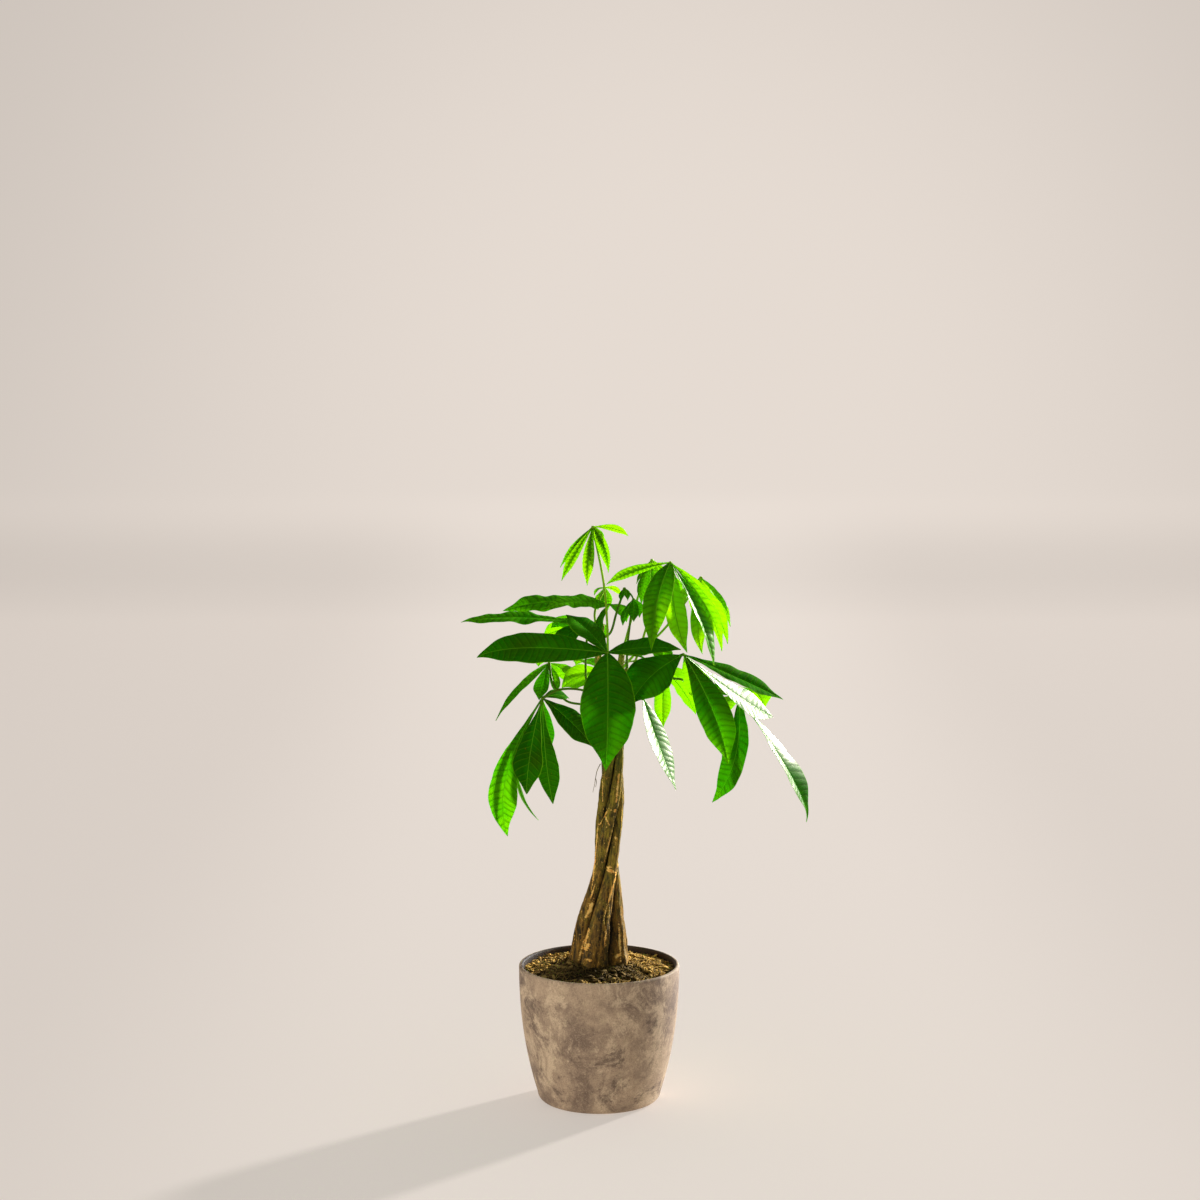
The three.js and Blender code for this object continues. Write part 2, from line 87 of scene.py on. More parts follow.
# The pot and the soil. Bits on the soil: how many, rings of each, least and greatest size, flatness.
POT_HEIGHT = 155
POT_SIDES = 200
RIM_RADIUS = 90
FOOT_RADIUS = 66.5
POT_BELLY = 2.2
WALL = 5
POT_FLOOR = 7
FOOT_ROUND = 9
SEAT_GAP = 0.3
SOIL_EDGE = 148
SOIL_SIDES = 240
SOIL_MOUND = 9
SOIL_LUMP = 1.3
SOIL_BITS = [(900, 4, 1.2, 5.5, 0.28), (1300, 3, 0.5, 1.5, 0.6)]
SOIL_FIBRES = 1100
HOLE_DEPTH = 55

# The twisted stems: heights and radii, the trunk's middle and its turn by height, and each stem's turn
# and the points that it goes through above the twist.
TWIST_START = 157
TWIST_END = 412
BASE_STEM_RADIUS = 12.7
MID_STEM_RADIUS = 5.7
TIP_STEM_RADIUS = 3.0
TAPER_TO = 280
THIN_FROM = 350
STEM_SPACING = 1.02
STEM_STEPS = 330
STEM_SIDES = 72
SCAR_SPACING = 26
TRUNK_LINE = [(157, -0.5), (206, 2), (245, 6.5), (302, 10), (341, 13.5), (379, 15), (412, 16)]
TWIST = [(157, 0), (235, 28), (275, 65), (345, 128), (412, 188)]
STEMS = {
    "stem_right": dict(turn=163, above=[[25, -3, 450], [31, 0, 490]]),
    "stem_back": dict(turn=253, above=[[20, 15, 455], [25, 22, 503]]),
    "stem_left": dict(turn=343, above=[[2, 13, 462], [-1, 15, 500], [3, 13, 538]]),
    "stem_front": dict(turn=73, above=[[12, -9, 450], [12, -14, 484]]),
}

# Marks on the front of the stems: x, z, half width, half height, lean and strength. Above 0 the wood is
# golden, where the bark has flaked off, and on some thin marks along ridges and right edges as painted
# highlight. Below 0 it is a groove, dark with painted shade; the last two, broad and weak, are painted shade
# on the stems' front.
MARKS = [
    (-15, 186, 1.3, 11, 0.3, 1.5),
    (-13, 180, 2.4, 3.6, 0.6, 1.2),
    (-20, 172, 1.2, 10, 0.2, 1),
    (-9, 222, 1.8, 6, 0.3, 1.6),
    (-11, 218, 1.4, 8, 0.5, 1.2),
    (-7, 240, 0.8, 10, 0.3, 0.9),
    (6.5, 190, 0.8, 8, 0.1, 1.5),
    (6, 206, 0.5, 10, -0.1, 0.9),
    (12, 236, 0.8, 24, 0.28, 1.4),
    (13, 264, 3.5, 1.6, -1.2, 1.5),
    (11, 268, 2.5, 1.2, 1, 1.2),
    (20.5, 358, 0.8, 14, 0.1, 1.3),
    (5.5, 324, 0.7, 8, 0.5, 1.3),
    (8.5, 322, 0.7, 6, -0.5, 1.3),
    (4, 355, 0.6, 12, 0, 0.9),
    (-3, 290, 0.6, 22, 0.08, 0.9),
    (-6, 262, 0.6, 14, 0.1, 0.9),
    (10, 292, 0.5, 18, 0.25, 0.8),
    (17.5, 333, 1.2, 1.6, 0, 1.2),
    (18, 300, 0.9, 1.4, 0, 1),
    (2, 200, 0.8, 22, 0.1, -0.8),
    (7.5, 212, 0.9, 30, 0.1, -0.9),
    (-20, 178, 1, 12, 0.35, -0.5),
    (23, 182, 1, 18, -0.05, 1),
    (20, 168, 2.4, 2.4, 0.3, 0.7),
    (-10, 167, 3, 1.8, 0.2, 0.7),
    (4, 300, 0.8, 14, 0.1, -0.7),
    (-3, 200, 4.5, 20, 0.2, -0.35),
    (14, 190, 3, 18, -0.1, -0.3),
]
MARKS_BEHIND = 9
DRY_FIBRES = [
    [[1.5, -7, 384], [-2, -8, 377], [-4, -9, 368], [-5, -8, 361], [-7, -9, 352]],
    [[-4, -9, 368], [-3, -10, 364], [-4, -10, 358]],
]

# Stalks and blades. Veins lean and bend towards the tip, in vein spacings.
STALK_RADIUS = 1.3
STALK_END_RADIUS = 1.8
STALK_STEPS = 44
STALK_BITE = 2.2
STALK_MAX_SLOPE = 0.8
STALK_SIDES = 12
TOP_ZONE = 8
HUB_RADIUS = 1.7
BLADE_FOOT = 2.4
BLADE_TIP = 0.5
BLADE_THICK = 0.4
RING_STEP = 1.3
FEWEST_RINGS = 26
MOST_RINGS = 100
VEINS = 15
CLOSEST_VEINS = 4.0
WIDEST_VEINS = 7.5
VEIN_LEAN = 0.3
VEIN_BEND = 0.06
HALF_BLADE = np.array([0, 0.035, 0.08, 0.15, 0.26, 0.38, 0.5, 0.62, 0.74, 0.85, 0.94, 1.0])
ACROSS = np.concatenate([-HALF_BLADE[:0:-1], HALF_BLADE])[None, :]
AWAY = np.abs(ACROSS)

# A leaf's material slots.
ABOVE, BELOW, STALK, GLOSSY = range(4)

YOUNG = ("leaf_crown", "leaf_upper_right", "leaf_upper_back", "leaf_far_right", "leaf_small")
PLAIN_BLADE = dict(sway=0, lean=0.6, roll=0, twist=0, fold=0.1, peak=0.56, fade=0, core=0, shine=0, wave=0.7,
                   pucker=0.6, bulge=0.09, tail=0, curl=0)


def blade(x, y, z, wide, bow, **look):
    """A leaflet: its tip's place from the hub, its width, how far it bows up, and the rest of its look.

    As in the part's source, sway is how far it bows aside, lean how far out its curve pulls, roll its turn in
    degrees, twist its further turn from foot to tip, fold how steeply its halves fold up and peak where it is
    widest. Added here: tone is how light its green is, from 0 to 1, partly its own green and partly painted
    light, lighter on blades that the window shines through and darker on shaded ones; fade is how much
    lighter it gets towards its tip, painted light too; core how dark its middle stays, shine whether its top
    is glossy, wave how far its margins undulate, pucker how far it rises between its side veins, bulge how
    far each half arches, fold_tip how steeply its tip folds up, tail how long its drawn-out tip is and curl
    how far that bends aside.
    """
    return dict(look, to=[x, y, z], wide=wide, bow=bow)


def leaf(stem, root, hub, via, *leaflets):
    """A leaf: its stem, the height where it leaves that, its stalk's end and way there, its leaflets."""
    return SimpleNamespace(stem=stem, root=root, hub=np.array(hub, float), via=via, leaflets=leaflets)


LEAVES = {
    "leaf_crown": leaf(
        "stem_front", 480, [-7, -15, 649], [[10, -15, 500], [9, -15, 540], [5, -16, 587]],
        blade(39, 10, -11, 12, 4, roll=42, tone=0.95, wave=0.2, pucker=0.2),
        blade(17, -20, -48, 17, 7, roll=-90, fold=0.2, peak=0.46, tone=0.85, wave=0.25, pucker=0.3, core=0.8),
        blade(-6, -30, -61, 13, 6, tone=0.9, wave=0.25, pucker=0.3, core=0.75),
        blade(-34, -20, -57, 11.5, 2, roll=30, tone=0.85, wave=0.25, pucker=0.3, core=0.75),
        blade(-36, 20, -47, 12, 2, roll=50, tone=0.7, wave=0.25, pucker=0.3, core=0.7),
        blade(8, 43, -32, 13, 8, tone=0.6),
    ),
    "leaf_upper_right": leaf(
        "stem_right", 476, [78, -25, 611], [[41, -12, 503], [59, -15, 560]],
        blade(-70, 15, -26, 17, 4, roll=-42, tone=0.75, wave=0.3, core=0.75),
        blade(-22, -77, -86, 31, 12, sway=-1.5, peak=0.42, tone=0.1, fade=0.8, pucker=0.8, core=0.3),
        blade(-4, 30, -62, 30, 8, roll=-36, tone=0.8),
        blade(18.5, -5, -99, 26, -5, roll=78, peak=0.5, tone=1),
        blade(47, -30, -110, 34, 6, roll=12, fold=0.25, tone=0.5, fade=0.3, shine=1, core=0.5),
        blade(57, 5, -99, 26, 10, roll=28, tone=0.55, fade=0.4, core=0.2),
        blade(65, 40, -96, 26, 12, roll=10, tone=0.9),
    ),
    "leaf_upper_back": leaf(
        "stem_back", 500, [59, 42, 606], [[33, 30, 530], [45, 36, 570]],
        blade(-12, -18, -47, 15, 4, tone=0.4),
        blade(-17, 20, -29, 7, 2, tone=0.3),
        blade(5, 65, -53, 24, 12, tone=0.6),
        blade(36, 55, -52, 20, 4, tone=0.7),
        blade(-4, 52, -60, 20, 6, tone=0.5),
    ),
    "leaf_far_right": leaf(
        "stem_back", 484, [114, 45, 586], [[45, 20, 508], [66, 22, 524], [95, 34, 558]],
        blade(30, -15, -39, 13, 3, roll=50, tone=0.2),
        blade(34, 18, -58, 16, 5, tone=0.7),
        blade(1, -25, -83, 17, 4, roll=10, sway=-5, tone=0.35, fade=0.8),
        blade(1, 70, -63, 26, 12, tone=1),
        blade(-32, 35, -52, 22, 6, tone=0.9),
    ),
    "leaf_upper_left": leaf(
        "stem_left", 532, [9, 5, 560], [[4, 9, 545]],
        blade(-115, -10, -5, 31, 7, roll=24, twist=30, fold=0, tone=0.45, wave=1.9),
        blade(-73, -50, 0, 25, 7, roll=22, twist=-34, fold=0.05, peak=0.38, tone=0.6, wave=1.9),
        blade(-12, -6, -38, 20, 2, tone=0.3, wave=1.4),
        blade(22, 52, -26, 22, 8, tone=0.6),
    ),
    "leaf_mid_left": leaf(
        "stem_left", 452, [-12, 20, 537], [[-10, 18, 456], [-14.5, 20, 475], [-14.5, 20, 508]],
        blade(-141, -15, 4, 34, 6, roll=13, fold=0.02, tone=0.4, wave=1.9),
        blade(-42, 30, -9, 20, 6, roll=-38, tone=0.6),
        blade(-52, 50, -21, 24, 2, roll=-46, tone=0.85),
        blade(-35, -25, -28, 28, 6, roll=20, tone=0.15),
        blade(13, 65, -34, 28, 10, tone=0.5),
    ),
    "leaf_front": leaf(
        "stem_front", 462, [9, -85, 520], [[13, -32, 475], [12, -60, 500]],
        blade(-140, -15, -3, 40, 8.5, roll=46, lean=0.78, fold=0.02, peak=0.42, tone=0.1),
        blade(-45, 40, 36, 38, 4, roll=5, fold=0.03, peak=0.52, tone=0.1),
        blade(-2, -40, -121, 59, 12, sway=2, peak=0.43, tone=0.15, fade=0.12),
        blade(79, -5, 4, 36, 4, roll=-22, peak=0.45, tone=0.15),
        blade(46, 50, -18, 26, 5, roll=-20, tone=0.2),
    ),
    "leaf_front_right": leaf(
        "stem_right", 462, [92, -50, 513], [[45, -16, 480], [70, -32, 502]],
        blade(-58, -42, -48, 50, 8, roll=35, tone=0.15),
        blade(47, -45, -113, 38, 6, roll=-30, sway=3, peak=0.54, tone=-0.05, fade=0.7, pucker=1.4),
        blade(110, 20, -53, 31, 1, roll=-28, fold=0.14, tone=0.15, wave=0.9),
        blade(101, 53, -78, 38, -3, roll=-44, lean=0.7, fold=0.02, peak=0.68, tone=0.4, wave=0.3, pucker=0.2,
              bulge=0.03, shine=1),
        blade(25, 65, -75, 34, 8, tone=0.9),
    ),
    "leaf_lower_right": leaf(
        "stem_back", 455, [156, 25, 454], [[48, 24, 474], [100, 27, 472]],
        blade(-30, -25, -115, 38, 10, sway=29, peak=0.53, tone=0.1, fade=0.25),
        blade(77, -10, -130, 40, 6, roll=-14, lean=0.7, twist=-30, fold=0.12, tone=0.3, wave=0.6, pucker=0.3,
              bulge=0.03, fold_tip=0.45, curl=-6, tail=9, shine=1),
        blade(-36, 30, 4, 28, 4, roll=20, tone=0.4),
        blade(35, 95, -29, 36, 14, tone=0.9),
        blade(-20, 100, -46, 32, 10, tone=0.9),
    ),
    "leaf_under": leaf(
        "stem_right", 448, [49, 5, 455], [[36, 0, 455]],
        blade(36, -30, -97, 42, 0, roll=12, sway=-2, twist=15, fold=0.12, peak=0.46, tone=0.25, wave=0.25,
              pucker=0.35, bulge=0.04, shine=1),
        blade(8, 55, -7, 28, 8, tone=1),
        blade(-14, 66, -14, 28, 6, tone=0.9),
    ),
    "leaf_lower_left": leaf(
        "stem_front", 445, [-62, -45, 464], [[-6, -28, 462], [-17, -36, 471], [-44, -44, 473]],
        blade(-17, -20, -103, 42, 5, peak=0.64, tone=-0.3),
        blade(-39, 10, -156, 42, 18, roll=65, lean=0.66, fold=0.04, peak=0.67, tone=0.4, fade=0.2),
        blade(11, 25, -123, 28, 4, sway=5, peak=0.66, tone=-0.4),
        blade(56, -15, -52, 33, 3, roll=-35, tone=-0.2),
        blade(29, 22, -4, 18, 4, roll=-30, tone=0.05),
        blade(8, 45, -69, 19, 4, sway=3, tone=0.3),
        blade(-6, 53, -147, 14, 4, roll=75, sway=26, tone=0.2),
    ),
    "leaf_left_behind": leaf(
        "stem_left", 436, [-56, 40, 490], [[-12, 6, 447], [-36, 8, 452], [-52, 25, 470]],
        blade(-60, -10, -64, 12, 5, roll=30, peak=0.36, tone=0.5),
        blade(-11, -25, -38, 19, 3, peak=0.62, tone=0.4),
        blade(8, -12, -34, 13, 3, tone=0.6),
        blade(-14, 80, -16, 26, 8, tone=0.8),
        blade(25, 75, -40, 30, 8, tone=0.8),
    ),
    "leaf_back_left": leaf(
        "stem_back", 462, [8, 50, 478], [[15, 32, 468]],
        blade(-50, -5, -17, 36, 5, roll=-54, tone=1),
        blade(-35, 60, -1, 30, 8, tone=0.8),
        blade(-7, 75, -33, 32, 8, tone=1),
        blade(25, 60, -30, 28, 8, tone=1),
    ),
    "leaf_bud_left": leaf(
        "stem_left", 520, [28, 10, 578], [[12, 9, 528], [19, 8, 550]],
        blade(-4, -8, -13, 7, 2, tone=0.3),
        blade(10, 2, -15, 7, 2, tone=0.3),
        blade(4, 20, -16, 8, 3, tone=0.3),
    ),
    "leaf_bud_right": leaf(
        "stem_right", 489, [38, -5, 568], [[31, 2, 510], [34, -2, 540]],
        blade(-12, -10, -28, 12, 3, tone=0.3),
        blade(0, -17, -23, 12, 4, tone=0.2),
        blade(12, 4, -16, 10, 3, tone=0.3),
        blade(7, 25, -24, 12, 4, tone=0.3),
    ),
    "leaf_small": leaf(
        "stem_left", 524, [6.5, 35, 576], [[-5, 19, 548]],
        blade(19, -10, -8, 9, 3, roll=60, tone=1, wave=0.2),
        blade(-12, -6, -8, 9, 3, tone=0.7),
        blade(-8, 20, -28, 12, 3, tone=0.6),
        blade(3, 28, -30, 12, 4, tone=0.6),
    ),
    "leaf_back_right": leaf(
        "stem_back", 494, [74, 75, 479], [[40, 42, 492], [60, 60, 490]],
        blade(-1, 10, -71, 20, 8, tone=0.9),
        blade(36, 5, -54, 24, 3, roll=38, tone=0.9),
        blade(-4, 20, 22, 24, 3, tone=0.6),
        blade(16, 75, -37, 32, 10, tone=0.9),
        blade(-20, 65, -36, 30, 8, tone=0.9),
    ),
}

# Small curves and meshes.


def unit(vector):
    return vector / np.linalg.norm(vector)


def units(rows):
    return rows / np.linalg.norm(rows, axis=1)[:, None]


def smooth(low, high, value):
    share = np.clip((value - low) / (high - low), 0, 1)
    return share * share * (3 - 2 * share)


def turned(vector, axis, angle):
    """vector turned about a unit axis, row by row."""
    dot = np.sum(axis * vector, axis=1)[:, None]
    return vector * np.cos(angle) + np.cross(axis, vector) * np.sin(angle) + axis * dot * (1 - np.cos(angle))


def angles(count):
    return np.linspace(0, FULL_TURN, count, endpoint=False)


def lengths(line):
    """How far along a line each of its points lies."""
    return np.concatenate([[0], np.cumsum(np.linalg.norm(np.diff(line, axis=0), axis=1))])


def catmull(points, steps):
    """A centripetal Catmull-Rom curve through the points, at even distances."""
    points = [np.array(p, float) for p in points]
    points = [2 * points[0] - points[1], *points, 2 * points[-1] - points[-2]]
    dense = []
    for before, start, end, after in zip(points, points[1:], points[2:], points[3:]):
        pairs = ((before, start), (start, end), (end, after))
        gaps = [max(np.linalg.norm(b - a) ** 0.5, 1e-2) for a, b in pairs]
        leave = (start - before) / gaps[0] - (end - before) / (gaps[0] + gaps[1]) + (end - start) / gaps[1]
        reach = (end - start) / gaps[1] - (after - start) / (gaps[1] + gaps[2]) + (after - end) / gaps[2]
        leave, reach = leave * gaps[1], reach * gaps[1]
        for share in np.linspace(0, 1, 24, endpoint=False):
            square, cube = share ** 2, share ** 3
            dense.append(start + leave * share
                         + (3 * (end - start) - 2 * leave - reach) * square
                         + (2 * (start - end) + leave + reach) * cube)
    dense.append(points[-2])
    dense = np.array(dense)
    along = lengths(dense)
    wanted = np.linspace(0, along[-1], steps + 1)
    return np.stack([np.interp(wanted, along, dense[:, k]) for k in range(3)], axis=1)


def tube_rings(line, radii, angle):
    """Rings round a line, turned without twist from one to the next."""
    tangents = units(np.gradient(line, axis=0))
    side = unit(np.cross(tangents[0], [0.3, 1.0, 0.2]))
    sides = []
    for tangent in tangents:
        side = unit(side - tangent * np.dot(side, tangent))
        sides.append(side)
    first = np.array(sides)
    second = np.cross(tangents, first)
    return (line[:, None, :]
            + first[:, None, :] * (np.cos(angle)[None, :] * radii)[..., None]
            + second[:, None, :] * (np.sin(angle)[None, :] * radii)[..., None])


def lathe_rings(profile, around):
    """Rings round the z axis for a profile of radii and heights."""
    angle = angles(around)
    profile = np.array(profile, float)
    return np.stack([profile[:, :1] * np.cos(angle), profile[:, :1] * np.sin(angle),
                     np.broadcast_to(profile[:, 1:], (len(profile), around))], axis=-1)


def ball_rings(rows, around):
    """The rings of a ball of radius 1, without its poles."""
    turn = np.linspace(0, math.pi, rows + 1)[1:-1]
    return lathe_rings(np.stack([np.sin(turn), np.cos(turn)], axis=1), around)


def put(name, data):
    """A new object in the scene."""
    made = bpy.data.objects.new(name, data)
    bpy.context.scene.collection.objects.link(made)
    return made


class Shape:
    """Closed skins that grow into one mesh, with two UV maps and a few named values for every point."""

    def __init__(self):
        self.points, self.faces, self.slots = [], [], []
        self.maps = {"veins": [], "spread": []}
        self.values = {"tone": [], "core": []}
        self.count = 0

    def add(self, rings, slots=0, maps=None, **values):
        """rings is an array of closed rings, ring by ring. slots is one slot or one for each point round."""
        rows, around, _ = rings.shape
        points = rings.reshape(-1, 3)
        row, column = np.meshgrid(np.arange(rows - 1), np.arange(around), indexing="ij")
        first = row * around + column
        after = row * around + (column + 1) % around
        quads = np.stack([first, after, after + around, first + around], -1).reshape(-1, 4)
        caps = [list(range(around))[::-1], list(range((rows - 1) * around, rows * around))]
        centred = points - points.mean(axis=0)
        a, b, c, d = (centred[quads[:, k]] for k in range(4))
        volume = np.sum(a * np.cross(b, c)) + np.sum(a * np.cross(c, d))
        if volume < 0:
            quads = quads[:, ::-1]
            caps = [cap[::-1] for cap in caps]
        self.points.append(points)
        self.faces += (quads + self.count).tolist()
        self.faces += [[index + self.count for index in cap] for cap in caps]
        slots = np.broadcast_to(slots, (around,))
        self.slots += np.tile(slots, rows - 1).tolist() + [int(slots[0])] * 2
        for title, kept in self.maps.items():
            kept.append((maps or {}).get(title, np.zeros((rows * around, 2))).reshape(-1, 2))
        for title, kept in self.values.items():
            value = np.asarray(values.get(title, 0.0), float)
            kept.append(np.broadcast_to(value, (rows, around)).reshape(-1))
        self.count += len(points)

    def build(self, name, materials, sharp=40):
        mesh = bpy.data.meshes.new(name)
        points = np.concatenate(self.points) * MM
        mesh.from_pydata(points.tolist(), [], self.faces)
        mesh.polygons.foreach_set("material_index", self.slots)
        corners = np.zeros(len(mesh.loops), np.int32)
        mesh.loops.foreach_get("vertex_index", corners)
        for title, kept in self.maps.items():
            layer = mesh.uv_layers.new(name=title)
            layer.data.foreach_set("uv", np.concatenate(kept)[corners].astype(np.float32).ravel())
        for title, kept in self.values.items():
            attribute = mesh.attributes.new(title, "FLOAT", "POINT")
            attribute.data.foreach_set("value", np.concatenate(kept).astype(np.float32))
        mesh.update()
        mesh.shade_smooth()
        mesh.set_sharp_from_angle(angle=math.radians(sharp))
        for material in materials:
            mesh.materials.append(material)
        return put(name, mesh)


# Materials: a short way to write node trees.


class Tree:
    """Nodes of one material, made by their kind and joined by their sockets."""

    def __init__(self, name):
        self.material = bpy.data.materials.new(name)
        self.material.use_nodes = True
        self.tree = self.material.node_tree
        self.tree.nodes.clear()

    def node(self, kind, inputs=None, **settings):
        made = self.tree.nodes.new("ShaderNode" + kind)
        for key, value in settings.items():
            setattr(made, key, value)
        for key, value in (inputs or {}).items():
            socket = made.inputs[key]
            if isinstance(value, bpy.types.NodeSocket):
                self.tree.links.new(value, socket)
            else:
                socket.default_value = value
        return made

    def math(self, operation, *values):
        return self.node("Math", dict(enumerate(values)), operation=operation).outputs[0]

    def times(self, first, second):
        return self.math("MULTIPLY", first, second)

    def clamp(self, value):
        return self.node("Clamp", {0: value}).outputs[0]

    def ramp(self, value, low, high, start=0.0, end=1.0):
        inputs = {"Value": value, "From Min": low, "From Max": high, "To Min": start, "To Max": end}
        return self.node("MapRange", inputs, interpolation_type="SMOOTHSTEP").outputs[0]

    def mix(self, share, first, second):
        return self.node("Mix", {0: share, 6: first, 7: second}, data_type="RGBA").outputs[2]

    def cover(self, colour, *layers):
        """colour with each layer's tint mixed over it by the layer's share, one by one."""
        for share, tint in layers:
            colour = self.mix(share, colour, tint)
        return colour

    def value(self, title):
        """One of the values that Shape gives every point."""
        return self.node("Attribute", attribute_name=title).outputs["Fac"]

    def place(self):
        return self.node("TexCoord").outputs["Object"]

    def apart(self, vector):
        return self.node("SeparateXYZ", {0: vector}).outputs

    def far(self, location, scale):
        """How far out a point lies, once its place is stretched and moved."""
        mapped = self.node("Mapping", {"Vector": self.place(), "Location": location, "Scale": scale})
        return self.node("VectorMath", {0: mapped.outputs[0]}, operation="LENGTH").outputs["Value"]

    def noise(self, waves, detail=3.0, roughness=0.55, distortion=0.0):
        """Noise with so many waves a metre: one number, or one for each axis."""
        scale = waves if isinstance(waves, tuple) else (waves,) * 3
        mapped = self.node("Mapping", {"Vector": self.place(), "Scale": scale})
        inputs = {"Vector": mapped.outputs[0], "Scale": 1.0, "Detail": detail, "Roughness": roughness,
                  "Distortion": distortion}
        return self.node("TexNoise", inputs).outputs["Fac"]

    def bumps(self, *rows):
        """Bumps on top of each other: height, strength and distance of each."""
        made = None
        for height, strength, distance in rows:
            inputs = {"Height": height, "Strength": strength, "Distance": distance}
            if made is not None:
                inputs["Normal"] = made
            made = self.node("Bump", inputs).outputs[0]
        return made

    def surface(self, colour, rough, specular, **more):
        inputs = {"Base Color": colour, "Roughness": rough, "Specular IOR Level": specular}
        inputs.update({title.replace("_", " ").title(): value for title, value in more.items()})
        return self.node("BsdfPrincipled", inputs).outputs[0]

    def finish(self, shader):
        self.node("OutputMaterial", {"Surface": shader})
        return self.material


def rgb(*channels):
    """A colour as seen on a screen, 0 to 255, in the shader's own linear values."""
    shares = [channel / 255 for channel in channels]
    linear = [share / 12.92 if share <= 0.04 else ((share + 0.055) / 1.055) ** 2.4 for share in shares]
    return (*linear, 1.0)


def leaf_masks(t):
    """Where a blade has veins, margin, net and the rest, each from 0 to 1.

    The veins map holds the place in vein spacings, the spread map the share along and across.
    """
    place = t.node("UVMap", uv_map="veins").outputs[0]
    along, out, _ = t.apart(place)
    share, across, _ = t.apart(t.node("UVMap", uv_map="spread").outputs[0])
    out = t.math("ABSOLUTE", out)
    across = t.math("ABSOLUTE", across)
    along = t.math("SUBTRACT", along, t.times(out, t.math("MULTIPLY_ADD", out, VEIN_BEND, VEIN_LEAN)))
    cell = t.times(t.math("PINGPONG", along, 0.5), 2)
    net = t.node("TexVoronoi", {"Vector": place, "Scale": 4.5}, feature="DISTANCE_TO_EDGE",
                 voronoi_dimensions="2D").outputs["Distance"]
    tone = t.value("tone")
    rib_wide = t.math("MULTIPLY_ADD", share, -0.06, 0.095)
    middle = t.ramp(t.math("ADD", across, t.times(cell, 0.3)), 0.3, 0.75, 1, 0)
    return SimpleNamespace(
        tone=tone,
        cell=cell,
        net=net,
        grain=t.noise(420, 2),
        line=t.times(t.ramp(cell, 0.04, 0.24, 1, 0), t.ramp(across, 0.75, 1, 1, 0.15)),
        rib=t.ramp(t.math("DIVIDE", out, rib_wide), 0.55, 1.15, 1, 0),
        edge=t.ramp(across, 0.955, 0.985),
        netted=t.ramp(net, 0, 0.09, 1, 0),
        light=t.clamp(t.math("ADD", tone, t.ramp(t.noise(38, 4), 0.35, 0.68, -0.1, 0.16))),
        aged=t.times(t.ramp(t.noise(24), 0.45, 0.75), t.ramp(tone, 0, 0.5, 0.5, 0)),
        # Painted shade on one side of each side vein, as if the veins were sunk.
        painted_vein_shade=t.times(t.ramp(t.math("FRACT", along), 0.55, 0.95), t.ramp(across, 0.02, 0.2)),
        core=t.times(t.times(t.value("core"), middle), t.ramp(share, 0.6, 1, 1, 0.1)),
    )


def leaf_material(name, dark, light, glow, vein, rib, margin, rough, sheen, net_depth):
    """A blade's green, and the lime that shows where the window's light comes through."""
    t = Tree(name)
    m = leaf_masks(t)
    # The green follows tone, partly the blade's own green and partly painted light.
    colour = t.cover(
        t.mix(m.light, dark, light),
        (m.aged, rgb(74, 78, 8)),
        # Painted shade beside the side veins.
        (t.times(m.painted_vein_shade, 0.42), (0.004, 0.03, 0, 1)),
        (m.core, rgb(28, 100, 4)),
        (t.times(m.netted, 0.2), vein),
        (t.times(m.line, 0.6), vein),
        (t.ramp(t.noise(230, 2, 0.5), 0.74, 0.78, 0, 0.7), rgb(150, 120, 30)),
        (t.times(m.rib, 0.85), rib),
        (t.times(m.edge, 0.8), margin),
        (t.ramp(m.grain, 0.3, 0.7, 0, 0.12), dark),
    )
    clear = t.ramp(m.tone, 0.55, 0.95, 1, 0.3)
    lit = t.cover(
        t.mix(m.light, *glow),
        (t.times(m.core, 0.75), (0.03, 0.2, 0, 1)),
        (m.aged, (0.3, 0.5, 0.003, 1)),
        # Painted shade beside the side veins, fainter on lighter blades.
        (t.times(m.painted_vein_shade, t.times(clear, 0.25)), dark),
        (t.times(m.netted, 0.06), dark),
        (t.times(m.line, t.times(clear, 0.32)), dark),
        (t.times(m.rib, t.ramp(m.tone, 0.3, 0.7, 0, 0.8)), dark),
    )
    relief = t.bumps((t.math("POWER", m.cell, 0.45), 0.16, 0.0006), (m.net, net_depth, 0.0003),
                     (m.grain, 0.08, 0.0003))
    face = t.surface(colour, rough, sheen, normal=relief)
    back = t.node("BsdfTranslucent", {"Color": lit}).outputs[0]
    through = t.ramp(m.tone, -0.4, 1, THROUGH_DARK, THROUGH_LIME)
    return t.finish(t.node("MixShader", {0: through, 1: face, 2: back}).outputs[0])


def stalk_material():
    t = Tree("stalk")
    streak = t.noise((260, 260, 26))
    green = t.mix(t.value("tone"), rgb(34, 92, 6), rgb(170, 232, 40))
    colour = t.cover(green, (t.ramp(streak, 0.35, 0.7, 0, 0.3), rgb(88, 96, 30)))
    return t.finish(t.surface(colour, 0.5, 0.1, normal=t.bumps((streak, 0.3, 0.0005)),
                              subsurface_weight=0.15, subsurface_radius=(0.001, 0.002, 0.0005)))


